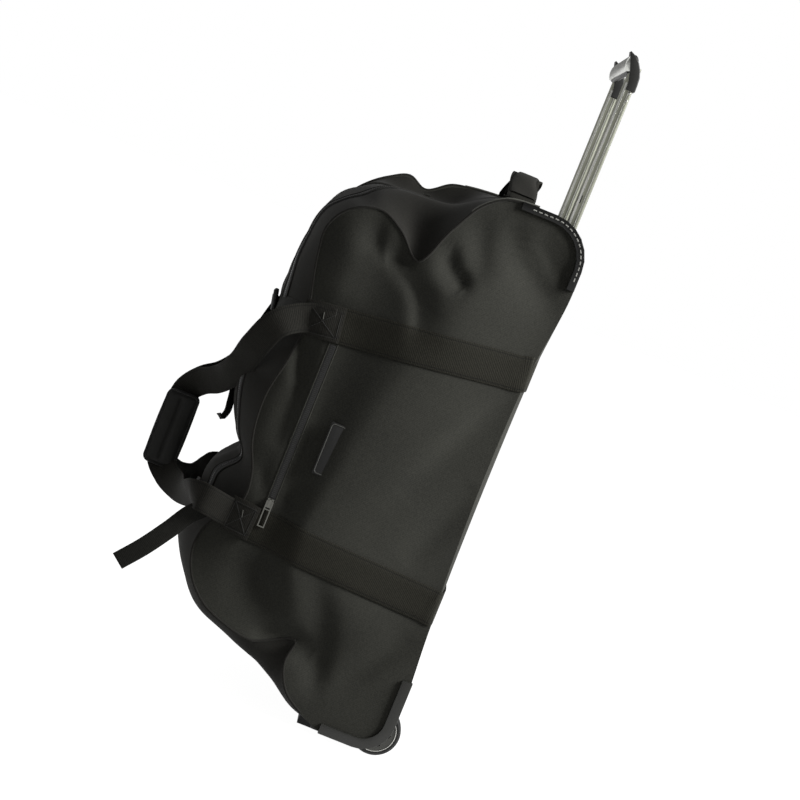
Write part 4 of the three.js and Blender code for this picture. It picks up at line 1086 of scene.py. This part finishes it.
# What it is, its size, where its middle is, how far its edges are rounded (mm), and in how many steps
buckle_blocks = [("body", (30, 20, 7.5), (0, -4, 4.5), 2.4, 3)]
for sign in (-1, 1):
    buckle_blocks.append(("arm", (5, 15, 5), (sign * 13.5, -1, 4.5), 1.8, 3))
    buckle_blocks.append(("rail", (4, 15, 5), (sign * 13, 10, 3.4), 1.2, 3))
buckle_blocks += [
    ("bar", (28, 4, 4.5), (0, 15, 3.4), 1.4, 3),
    ("yoke", (26, 6, 5.6), (0, 6.5, 3.6), 1.4, 3),
    ("ridge", (16, 1.6, 1.6), (0, -8, 8.2), 0.5, 2),
]


def buckle(name):
    """Lies in X and Y with its back at z = 0; the strap runs along Y."""
    parts = []
    for label, size, place, bevel, segments in buckle_blocks:
        size = [length * MM for length in size]
        place = [length * MM for length in place]
        parts.append(block(label, size, place, bevel * MM, segments))
    return joined(name, parts)


for name, s in lid_rows.items():
    place, out = on_cover([s], [BUCKLE_V], lift=2.0 * MM)
    clip = buckle(f"strap_buckle_{name}")
    z_way = Vector(out[0]).normalized()
    y_way = (Vector((0, 1, 0)) - z_way * z_way.y).normalized()
    x_way = y_way.cross(z_way)
    turned = Matrix((x_way, y_way, z_way)).transposed().to_4x4()
    clip.data.transform(Matrix.Translation(place[0]) @ turned)
    smooth(clip, 40)
    finish_piece(clip, GLOSS_PLASTIC, nodes=[f"compression_buckle_{name}"])
    print(clip.name, len(clip.data.polygons), "faces")

# %% [markdown]
# ## Zips
# A coil zip is a strip of woven tape with a row of nylon coil down each edge. Laid shut it shows as one
# ridge about 5 mm wide. The tape is a thin strip on the cloth. The coil is one small bevelled tooth,
# repeated along the line: a hundred copies cost little as long as the tooth has few faces.

# %% Strips and teeth that lie on the cloth
TOOTH_PITCH = 2.6 * MM


def frames_along(points, outs, pitch):
    """Evenly spaced places on a line: the point, the way ahead, the way across and the way out."""
    steps = np.linalg.norm(np.diff(points, axis=0), axis=1)
    run = np.concatenate([[0], np.cumsum(steps)])
    at = np.arange(pitch / 2, run[-1], pitch)
    place = np.stack([np.interp(at, run, points[:, k]) for k in range(3)], axis=1)
    out = np.stack([np.interp(at, run, outs[:, k]) for k in range(3)], axis=1)
    ahead = unit(np.gradient(place, axis=0))
    side = unit(np.cross(ahead, out))
    return place, ahead, side, np.cross(side, ahead)


def repeated(name, pattern, places):
    """One mesh holding a copy of pattern at each place. A place is four rows: origin, X, Y and Z."""
    base = places_of(pattern)
    faces = [tuple(polygon.vertices) for polygon in pattern.data.polygons]
    vertices = []
    polygons = []
    for k, (origin, x_way, y_way, z_way) in enumerate(places):
        vertices.append(origin + base[:, :1] * x_way + base[:, 1:2] * y_way + base[:, 2:3] * z_way)
        polygons += [tuple(k * len(base) + i for i in face) for face in faces]
    mesh = bpy.data.meshes.new(name)
    mesh.from_pydata(np.concatenate(vertices).tolist(), [], polygons)
    mesh.update()
    piece = bpy.data.objects.new(name, mesh)
    bpy.context.scene.collection.objects.link(piece)
    bpy.data.objects.remove(pattern)
    return piece


def small_block(size, bevel):
    return block("pattern", size, (0, 0, size[2] / 2), bevel, 1)


def teeth(name, points, outs, size):
    place, ahead, side, out = frames_along(points, outs, TOOTH_PITCH)
    row = repeated(name, small_block(size, 0.35 * MM), zip(place, side, ahead, out))
    return finish_piece(row, ZIP_COIL)


def strip_on_cloth(name, points, outs, width, thick, material, nodes=()):
    """A flat strip whose width lies in the cloth's surface."""
    side = unit(np.cross(np.gradient(points, axis=0), outs))
    return strap(name, points, side, width, thick, 5.0, material, nodes)


# %% [markdown]
# ### The main zip
# It goes up the lid near one edge, across the top end and down near the other edge, so that the whole
# lid opens. Its line is a list of places on the tube of cloth, and the tape lies on the cloth between
# two folded edges, which hide where the zip is sewn in.

# %% Main zip: up the lid's left edge, across the top end and down its right edge
ZIP_V = 0.7         # where the zip runs down each side of the lid
turn_rows = [(26.3, 1.0), (24.0, 1.0), (20.0, 1.0), (16.0, 1.0), (14.4, 0.98), (13.3, 0.9), (12.6, 0.76),
             (12.15, 0.58), (12.0, 0.4), (12.0, 0.2)]
zip_rows = [(s, -ZIP_V * share) for s, share in turn_rows] + [(12.0, 0.0)]
zip_rows += [(s, ZIP_V * share) for s, share in reversed(turn_rows)]
fine = stations(np.array([(s * 40, v * HALF_SPAN) for s, v in zip_rows]), 0, len(zip_rows) - 1, 5.0)
zip_s, zip_v = spline(zip_rows, fine).T
zip_line, zip_out = on_cover(zip_s, zip_v)
strip_on_cloth("main_zip_cloth", zip_line + zip_out * 0.2 * MM, zip_out, 22 * MM, 0.8 * MM, ZIP_CLOTH,
               ["main_zip_tape"])
teeth("main_zip_coil", zip_line + zip_out * 0.3 * MM, zip_out, (5.2 * MM, 1.7 * MM, 0.9 * MM))
zip_length = np.linalg.norm(np.diff(zip_line, axis=0), axis=1).sum()
print("main zip is", round(float(zip_length), 3), "m long")

# %% The folded cloth edges on both sides of the main zip
WELT_V, WELT_S = 0.048, 0.25        # how far a welt is from the zip down the sides and across the top
zip_sign = np.where(np.abs(zip_v) > 1e-9, np.sign(zip_v), 1)
down_sides = ease((zip_s - 12) / 1.6)
for name, outer in (("inner", -1), ("outer", 1)):
    s = zip_s - outer * WELT_S * (1 - down_sides)
    v = zip_v + zip_sign * outer * WELT_V * down_sides
    line, out = on_cover(s, v, lift=0.4 * MM)
    cord = tube(f"zip_welt_{name}", line, 1.5 * MM)
    finish_piece(cord, SHADED_COVER_TWILL)

# %% [markdown]
# ### The pocket zip
# A straight zip runs down the left side between two narrow welts. It lies on the flat strip that the
# folds leave free, because its slider has to run from one end to the other.

# %% Side pocket zip
tape_low, tape_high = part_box("pocket_zip_tape")
POCKET_X = (tape_low.x + tape_high.x) / 2
FACE_Y = tape_low.y                         # the tape's outer face, which the slider runs on
STOPS = 41
heights = np.linspace(tape_low.z, tape_high.z, STOPS)
face = np.stack([np.full(STOPS, POCKET_X), np.full(STOPS, FACE_Y + 0.35 * MM), heights], axis=1)
face_out_way = np.tile((0.0, -1.0, 0.0), (STOPS, 1))
strip_on_cloth("pocket_zip_cloth", face, face_out_way, 9 * MM, 0.7 * MM, ZIP_CLOTH,
               ["pocket_zip_tape"])
teeth("pocket_zip_coil", face, face_out_way, (5.0 * MM, 1.7 * MM, 0.5 * MM))
welt_heights = np.linspace(tape_low.z - 4 * MM, tape_high.z + 4 * MM, STOPS)
for name, aside in (("front", -5.6 * MM), ("back", 5.6 * MM)):
    line = np.array([(POCKET_X + aside, FACE_Y + 1.0 * MM, z) for z in welt_heights])
    welt = tube(f"pocket_welt_{name}", line, 1.3 * MM)
    finish_piece(welt, BODY_FABRIC)
print("pocket zip is", round(tape_high.z - tape_low.z, 3), "m long")

# %% [markdown]
# ### The badge
# The label is a soft rubber patch with a raised rim, sewn on beside the pocket. It carries nothing.

# %% Badge
badge_low, badge_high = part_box("badge_patch")
badge_middle = (badge_low + badge_high) / 2
badge_size = badge_high - badge_low
BADGE_THICK, RIM_INSET = 1.6 * MM, 2 * MM
badge_middle.y = stuffed(np.array([[badge_middle.x, -HALF, badge_middle.z]]))[0, 1] - 0.7 * MM
badge = block("badge", (badge_size.x, BADGE_THICK, badge_size.z), badge_middle, 0.7 * MM, 2)
corners = rounded_loop(badge_size.x / 2 - RIM_INSET, badge_size.z / 2 - RIM_INSET, 4 * MM)
rim_y = badge_middle.y - 0.8 * MM
rim = tube("badge_rim", [(badge_middle.x + a, rim_y, badge_middle.z + b) for a, b in corners], 0.7 * MM,
           closed=True)
smooth(badge)
finish_piece(badge, RUBBER, nodes=["badge_patch"])
finish_piece(rim, HUB_PLASTIC)

# %% [markdown]
# ## Grab handle
# The handle on the top end is a soft tube of folded webbing with its ends sewn flat. Empty, it stands up
# in a low crumpled arch.

# %% Grab handle
grab_low, grab_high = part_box("grab_handle")
grab_x = (grab_low.x + grab_high.x) / 2
grab_width = grab_high.x - grab_low.x
GRAB_SPAN = 62 * MM                     # half the length that stands free
SEWN_FROM, SEWN_TO = 8 * MM, 24 * MM    # the sewn ends, beyond the free part
TOP_Z, SEWN_Z, FREE_Z = 0.784, 0.7838, 0.7842
grab_points = [(grab_x, -GRAB_SPAN - SEWN_TO, SEWN_Z), (grab_x, -GRAB_SPAN - SEWN_FROM, SEWN_Z)]
for share in np.linspace(-1, 1, 13):
    arch = math.cos(share * math.pi / 2)
    lean = 3 * MM * math.sin(share * 5.0) + 4 * MM * arch
    grab_points.append((grab_x + lean, share * GRAB_SPAN, FREE_Z + (grab_high.z - TOP_Z) * arch ** 1.2))
grab_points += [(grab_x, GRAB_SPAN + SEWN_FROM, SEWN_Z), (grab_x, GRAB_SPAN + SEWN_TO, SEWN_Z)]
strap("grab_webbing", grab_points, [(1, 0, 0)] * len(grab_points), grab_width, 2.4 * MM, 5.0,
      STRAP_WEBBING, ["grab_handle"])


def grab_sleeve(u, angle):
    """A flattened tube round the arch that is a little crushed."""
    index = 3 + u * 10
    centre = spline(grab_points, index)
    wide = 0.84 * grab_width / 2 + 2.2 * MM * np.sin(u * 9 + 0.5)
    thick = 5.5 * MM + 1.6 * MM * np.sin(u * 13 + 1.1) * np.cos(angle * 2)
    ahead = unit(spline(grab_points, index + NUDGE) - spline(grab_points, index - NUDGE))
    up = np.cross(np.tile((1.0, 0, 0), (len(u), 1)), ahead)
    wave = 1 + 0.05 * np.sin(angle * 5 + u * 7)
    x = np.sign(np.cos(angle)) * np.abs(np.cos(angle)) ** 0.7 * wide * wave
    return centre + np.stack([x, 0 * x, 0 * x], axis=1) + up * (np.sin(angle) * thick)[:, None]


sleeve = laid_grid("grab_sleeve", np.linspace(0, 1, 33), np.linspace(0, 2 * math.pi, 33), grab_sleeve)
face_out(sleeve, merge=0.1 * MM)
thicken(sleeve, 1.0 * MM)
smooth(sleeve, 70)
finish_piece(sleeve, SHADED_COVER_TWILL)
print("grab handle sleeve:", len(sleeve.data.polygons), "faces")

# %% [markdown]
# ## The plastic and metal pieces
# These come from the frame, where a curved face is made of flat ones and every edge is sharp. A copy is
# merged, its flat faces are joined up and its edges are rounded, as a mould would leave them. The
# copy stands for the original.


# %% Round the edges of a copy
def refined(name, node, radius, material):
    start_clean()
    source = frame["nodes"][node]
    piece = source.copy()
    piece.data = source.data.copy()
    piece.name = name
    for key in list(piece.keys()):
        if key.startswith("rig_"):
            del piece[key]
    piece.parent = None
    piece.matrix_world = Matrix.Identity(4)
    bpy.context.scene.collection.objects.link(piece)
    edit_all(piece, (bpy.ops.mesh.remove_doubles, {"threshold": 0.01 * MM}),
             (bpy.ops.mesh.dissolve_limited, {"angle_limit": math.radians(1.0)}))
    apply_modifier(piece, "BEVEL", width=radius, segments=3, limit_method="ANGLE",
                   angle_limit=math.radians(35))
    smooth(piece, 35)
    return finish_piece(piece, material, nodes=[node])


for side, sign in SIDES:
    refined(f"guard_{side}", f"corner_guard_{side}", 1.6 * MM, GUARD_PLASTIC)
    refined(f"corner_trim_{side}", f"top_corner_trim_{side}", 1.2 * MM, GLOSS_PLASTIC)
refined("cup", "handle_cup", 1.2 * MM, BOOT_PLASTIC)
print("edges rounded")

# %% [markdown]
# ### The stiff board
# A sheet of polypropylene in a sleeve keeps the back flat. Its own back edge would show through the
# cloth, which curves in towards the seams, so here it is a thinner sheet that lies deeper.

# %% Board
BOARD_DEPTH, BOARD_WIDTH, BOARD_THICK = 10.5 * MM, 310 * MM, 2 * MM
board_low, board_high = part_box("base_board")
board_middle = (board_low + board_high) / 2
board_middle.x = BACK - BOARD_DEPTH
board_size = (BOARD_THICK, BOARD_WIDTH, board_high.z - board_low.z)
board = block("stiff_board", board_size, board_middle, 0.6 * MM, 2)
finish_piece(board, BOARD, nodes=["base_board"])

# %% [markdown]
# ### Small trim
# Each corner trim has a row of light reflective dashes let into it, round the bag's corner. Where the
# top end meets a side panel the seam is bound with a short grosgrain strip. Its light grey is painted
# sheen.

# %% Light dashes let into each corner trim
trim_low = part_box("top_corner_trim_left")[0]
CORNER_RADIUS, TRIM_WIDTH = 58 * MM, 3.6 * MM
DASH_PITCH = 8 * MM
corner_x, corner_z = BACK - CORNER_RADIUS, 0.782 - CORNER_RADIUS
TRIM_RADIUS = CORNER_RADIUS - TRIM_WIDTH
dash_line = [(corner_x - d * MM, corner_z + TRIM_RADIUS) for d in range(34, 0, -3)]
dash_line += [(corner_x + TRIM_RADIUS * math.sin(a), corner_z + TRIM_RADIUS * math.cos(a))
              for a in np.linspace(0, math.pi / 2, 25)]
dash_line += [(corner_x + TRIM_RADIUS, corner_z - d * MM) for d in range(3, 20, 3)]
dash_line = np.array(dash_line)
run = np.concatenate([[0], np.cumsum(np.linalg.norm(np.diff(dash_line, axis=0), axis=1))])
at = np.arange(DASH_PITCH / 2, run[-1], DASH_PITCH)
x = np.interp(at, run, dash_line[:, 0])
z = np.interp(at, run, dash_line[:, 1])
ahead = unit(np.stack([np.gradient(x), np.zeros(len(x)), np.gradient(z)], axis=1))
for side, sign in SIDES:
    out = np.tile((0.0, float(sign), 0.0), (len(x), 1))
    face_y = sign * (-trim_low.y - 0.2 * MM)
    place = np.stack([x, np.full(len(x), face_y), z], axis=1)
    dashes = repeated(f"trim_dashes_{side}", small_block((1.7 * MM, 5.0 * MM, 0.8 * MM), 0.3 * MM),
                      zip(place, np.cross(ahead, out), ahead, out))
    finish_piece(dashes, LIGHT_THREAD)

# %% Bound seams where the top end meets the side panels, light grey as painted sheen
for side, sign in SIDES:
    bound = seam_cord("top_binding_painted_sheen", side, 7.6, 10.4, 4.0, 2.6 * MM, 1.3 * MM)
    finish_piece(bound, BINDING)

# %% [markdown]
# ## The grip
# The grip is a rounded bar with a dark satin back and a bright lacquered front. Both are made from the
# same bar: the front is a little fuller and is cut along a flat plane, as the moulded halves meet. A
# dark elbow at each end stands on the tube and curls forward over the bar.


# %% Grip
shell_low, shell_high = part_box("grip_shell")
BAR_X, BAR_Z = BACK - 37 * MM, 1.013
BAR_HALF_X, BAR_HALF_Z = 10.8 * MM, 16.6 * MM


def bar(name, grow):
    start_clean()
    bpy.ops.mesh.primitive_cylinder_add(vertices=48, radius=1, depth=1, location=(0, 0, 0),
                                        rotation=(math.pi / 2, 0, 0))
    piece = bpy.context.object
    piece.name = name
    bpy.ops.object.transform_apply(location=True, rotation=True, scale=True)
    length = shell_high.y - shell_low.y + 2 * grow
    scale = Matrix.Diagonal((BAR_HALF_X + grow, length, BAR_HALF_Z + grow, 1))
    piece.data.transform(Matrix.Translation((BAR_X, 0, BAR_Z)) @ scale)
    apply_modifier(piece, "BEVEL", width=9 * MM, segments=5, limit_method="ANGLE",
                   angle_limit=math.radians(40))
    return piece


def cut(piece, point, normal):
    """Takes away what lies on the normal's side of a plane, and closes the cut."""
    plane = {"plane_co": point, "plane_no": normal, "use_fill": True, "clear_outer": True}
    edit_all(piece, (bpy.ops.mesh.bisect, plane))


# The outline of an elbow, as depth and height (mm)
BLADE = [(33, 978), (19.5, 978), (19.7, 988), (20.5, 999), (24, 1009), (29, 1017.5), (36.5, 1025),
         (46, 1029.5), (44, 1022), (41, 1014), (38, 1006), (35, 996), (33, 987)]
BLADE_WIDTH = 27 * MM


def blade(y):
    """An elbow with its middle at y."""
    start_clean()
    bpy.ops.mesh.primitive_circle_add(vertices=len(BLADE), radius=1, fill_type="NGON")
    piece = bpy.context.object
    piece.name = "elbow"
    for vertex, (depth, height) in zip(piece.data.vertices, BLADE):
        vertex.co = (BACK - depth * MM, y - BLADE_WIDTH / 2, height * MM)
    raised = {"TRANSFORM_OT_translate": {"value": (0, BLADE_WIDTH, 0)}}
    edit_all(piece, (bpy.ops.mesh.extrude_region_move, raised),
             (bpy.ops.mesh.select_all, {"action": "SELECT"}), OUTWARDS)
    apply_modifier(piece, "BEVEL", width=1.6 * MM, segments=3, limit_method="ANGLE",
                   angle_limit=math.radians(50))
    return piece


# %% The two shells
shells = [bar("grip_back_shell", -3 * MM)]
for side, sign in SIDES:
    tube_low, tube_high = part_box(f"inner_tube_{side}")
    shells.append(blade((tube_low.y + tube_high.y) / 2))
shell = joined("grip_back_shell", shells)
smooth(shell, 35)
finish_piece(shell, BOOT_PLASTIC, "trolley", ["grip_shell"])
front = bar("grip_front_shell", -1.6 * MM)
cut(front, (BAR_X + 1 * MM, 0, BAR_Z), (1, 0, 0.25))
cut(front, (BAR_X, 0, BAR_Z - 10 * MM), (0.35, 0, -1))
smooth(front, 35)
finish_piece(front, SILVER, "trolley", ["grip_insert"])
print("grip shells:", len(shell.data.polygons), "and", len(front.data.polygons), "faces")

# %% [markdown]
# ## Trolley tubes
# The inner tubes are extruded with a groove down each narrow face. The drawn lands beside the groove
# catch the light as fine bright lines. These are painted highlights: thin strips of a brighter metal laid
# on the face.

# %% Painted highlight lines on the inner tubes
for side, sign in SIDES:
    tube_low, tube_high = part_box(f"inner_tube_{side}")
    middle_x = (tube_low.x + tube_high.x) / 2
    top = shell_low.z + 1 * MM
    foot = tube_low.z + 6 * MM
    for way, face_y in ((-1, tube_low.y), (1, tube_high.y)):
        where = "outer" if way == sign else "inner"
        for label, x, width in (("front", -4.6, 3.2), ("land", 2.3, 1.1)):
            piece = block(f"tube_line_{side}_{where}_{label}", (width * MM, 0.5 * MM, top - foot),
                          (middle_x + x * MM, face_y, (top + foot) / 2), 0.15 * MM, 1)
            smooth(piece, 35)
            finish_piece(piece, HIGHLIGHT_METAL, "trolley")

# %% [markdown]
# ### Rivets
# Two domed steel rivets hold each elbow to its tube. A sphere pressed flat makes the dome.

# %% A rivet head on the one in the frame, and a second below it
RIVET_PITCH = 11 * MM
for side, sign in SIDES:
    rivet_low, rivet_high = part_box(f"grip_rivet_{side}")
    middle = (rivet_low + rivet_high) / 2
    start_clean()
    face_y = rivet_low.y if sign < 0 else rivet_high.y
    for k, drop in enumerate((0, RIVET_PITCH)):
        bpy.ops.mesh.primitive_uv_sphere_add(segments=20, ring_count=10, radius=2.1 * MM,
                                             location=(middle.x, face_y, middle.z - drop))
        head = bpy.context.object
        head.name = f"rivet_head_{side}_{k + 1}"
        head.scale = (1, 0.35, 1)
        bpy.ops.object.transform_apply(location=True, rotation=True, scale=True)
        smooth(head, 60)
        finish_piece(head, STEEL, "trolley")

# %% [markdown]
# ## Wheels
# The tyres and hubs are turned shapes. A thin ring sits where the hub meets the tyre: the real rim, drawn
# in bright metal as a painted glint.

# %% Rim rings on the wheels
for side, sign in SIDES:
    hub_low, hub_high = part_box(f"wheel_hub_{side}")
    centre = (hub_low + hub_high) / 2
    outer_y, inner_y = (hub_low.y, hub_high.y) if sign < 0 else (hub_high.y, hub_low.y)
    for face, y in (("outer", outer_y), ("inner", inner_y)):
        start_clean()
        bpy.ops.mesh.primitive_torus_add(major_segments=64, minor_segments=10, major_radius=28.6 * MM,
                                         minor_radius=0.9 * MM, location=(centre.x, y, centre.z),
                                         rotation=(math.pi / 2, 0, 0))
        ring = bpy.context.object
        ring.name = f"wheel_rim_{side}_{face}"
        bpy.ops.object.transform_apply(location=True, rotation=True, scale=True)
        smooth(ring, 60)
        finish_piece(ring, HIGHLIGHT_METAL, f"wheel_{side}")

# %% [markdown]
# ## Finishes of the frame's own pieces
# Whatever still shows from the frame gets its finish here, by what it is made of.

# %% Finish by slot
finishes = {
    "fabric": BODY_FABRIC, "lining": LINING, "webbing": BAND_WEBBING, "padding": KNIT,
    "zip_tape": ZIP_CLOTH, "boot_plastic": BOOT_PLASTIC, "trim_plastic": GLOSS_PLASTIC, "board": BOARD,
    "aluminium": TUBE_METAL, "silver_plastic": SILVER, "rubber": RUBBER, "hub_plastic": HUB_PLASTIC,
    "steel": STEEL, "gunmetal": GUNMETAL,
}
for part in frame["record"]["subparts"]:
    materials = frame["nodes"][part["node"]].data.materials
    materials.clear()
    materials.append(finishes[part["material_slot"]])

# %% [markdown]
# ## Camera, light and floor
# The bag is seen square on to its left side from 3.3 metres, with the camera turned so that
# the bag leans to the right.

# %% Camera
DISTANCE = 3.3
EYE = Vector((-0.142, -HALF - DISTANCE, 0.7255))
FOCAL = 3.05375                     # focal length in widths of the image
right_way = Vector((0.00575, 0.249875, -FOCAL)).normalized()
up_way = Vector((0.3748, 0.9240, 0.0766))
up_way = (up_way - up_way.dot(right_way) * right_way).normalized()
out_way = right_way.cross(up_way)
camera_turn = Matrix((out_way, right_way, up_way))
camera_data = bpy.data.cameras.new("camera")
camera_data.sensor_width = 36.0
camera_data.lens = FOCAL * camera_data.sensor_width
camera = bpy.data.objects.new("camera", camera_data)
bpy.context.scene.collection.objects.link(camera)
camera.matrix_world = Matrix.Translation(EYE) @ camera_turn.to_4x4()
bpy.context.scene.camera = camera
print("camera at", [round(value, 3) for value in EYE], "lens", round(camera_data.lens, 1))

# %% [markdown]
# ### Floor and light
# The floor is matt white and glows only where the camera looks at it, so it stays clean white and
# still takes no part in lighting the cloth. A large softbox stands to the side of the stiff back, and a
# weak one behind the lid draws the far edge.

# %% Floor
FLOOR_GLOW = 0.98
start_clean()
bpy.ops.mesh.primitive_plane_add(size=60, location=(0, 0, -0.0005))
floor = bpy.context.object
floor.name = "floor"
floor_material, floor_tree, floor_shader = new_material("matt white paint", "787876", 0.95)
path = add(floor_tree, "ShaderNodeLightPath")
seen = add(floor_tree, "ShaderNodeMath", {0: path.outputs["Is Camera Ray"],
                                          1: path.outputs["Is Glossy Ray"]}, operation="MAXIMUM")
power = add(floor_tree, "ShaderNodeMath", {0: seen.outputs[0], 1: FLOOR_GLOW}, operation="MULTIPLY")
glow = add(floor_tree, "ShaderNodeEmission", {"Color": (1, 1, 1, 1), "Strength": power.outputs[0]})
both = add(floor_tree, "ShaderNodeAddShader", {0: floor_shader.outputs[0], 1: glow.outputs[0]})
floor_tree.links.new(both.outputs[0], floor_tree.nodes["Material Output"].inputs["Surface"])
floor.data.materials.append(floor_material)

# %% World
SKY_STRENGTH = 0.17
world = bpy.data.worlds.new("studio")
bpy.context.scene.world = world
world.use_nodes = True
sky = world.node_tree
ray = add(sky, "ShaderNodeLightPath")
looked_at = add(sky, "ShaderNodeMath", {0: ray.outputs["Is Camera Ray"],
                                        1: ray.outputs["Is Transmission Ray"]}, operation="MAXIMUM")
sky_glow = add(sky, "ShaderNodeMapRange", {"Value": looked_at.outputs[0], "To Min": SKY_STRENGTH,
                                           "To Max": 1.0})
background = sky.nodes["Background"]
background.inputs["Color"].default_value = (1, 1, 1, 1)
sky.links.new(sky_glow.outputs[0], background.inputs["Strength"])


# %% Softboxes
KEY_POWER, RIM_POWER = 92, 7


def softbox(name, place, target, size, power):
    lamp_data = bpy.data.lights.new(name, "AREA")
    lamp_data.shape = "RECTANGLE"
    lamp_data.size, lamp_data.size_y = size
    lamp_data.energy = power
    lamp = bpy.data.objects.new(name, lamp_data)
    bpy.context.scene.collection.objects.link(lamp)
    lamp.location = place
    lamp.rotation_euler = (Vector(target) - Vector(place)).to_track_quat("-Z", "Y").to_euler()


softbox("key", (1.9, -0.85, 1.75), (0.0, -0.15, 0.85), (0.8, 1.2), KEY_POWER)
softbox("rim", (-1.6, 0.9, 1.7), (-0.1, 0, 0.6), (1.0, 1.4), RIM_POWER)
bpy.context.scene.view_settings.view_transform = "Standard"
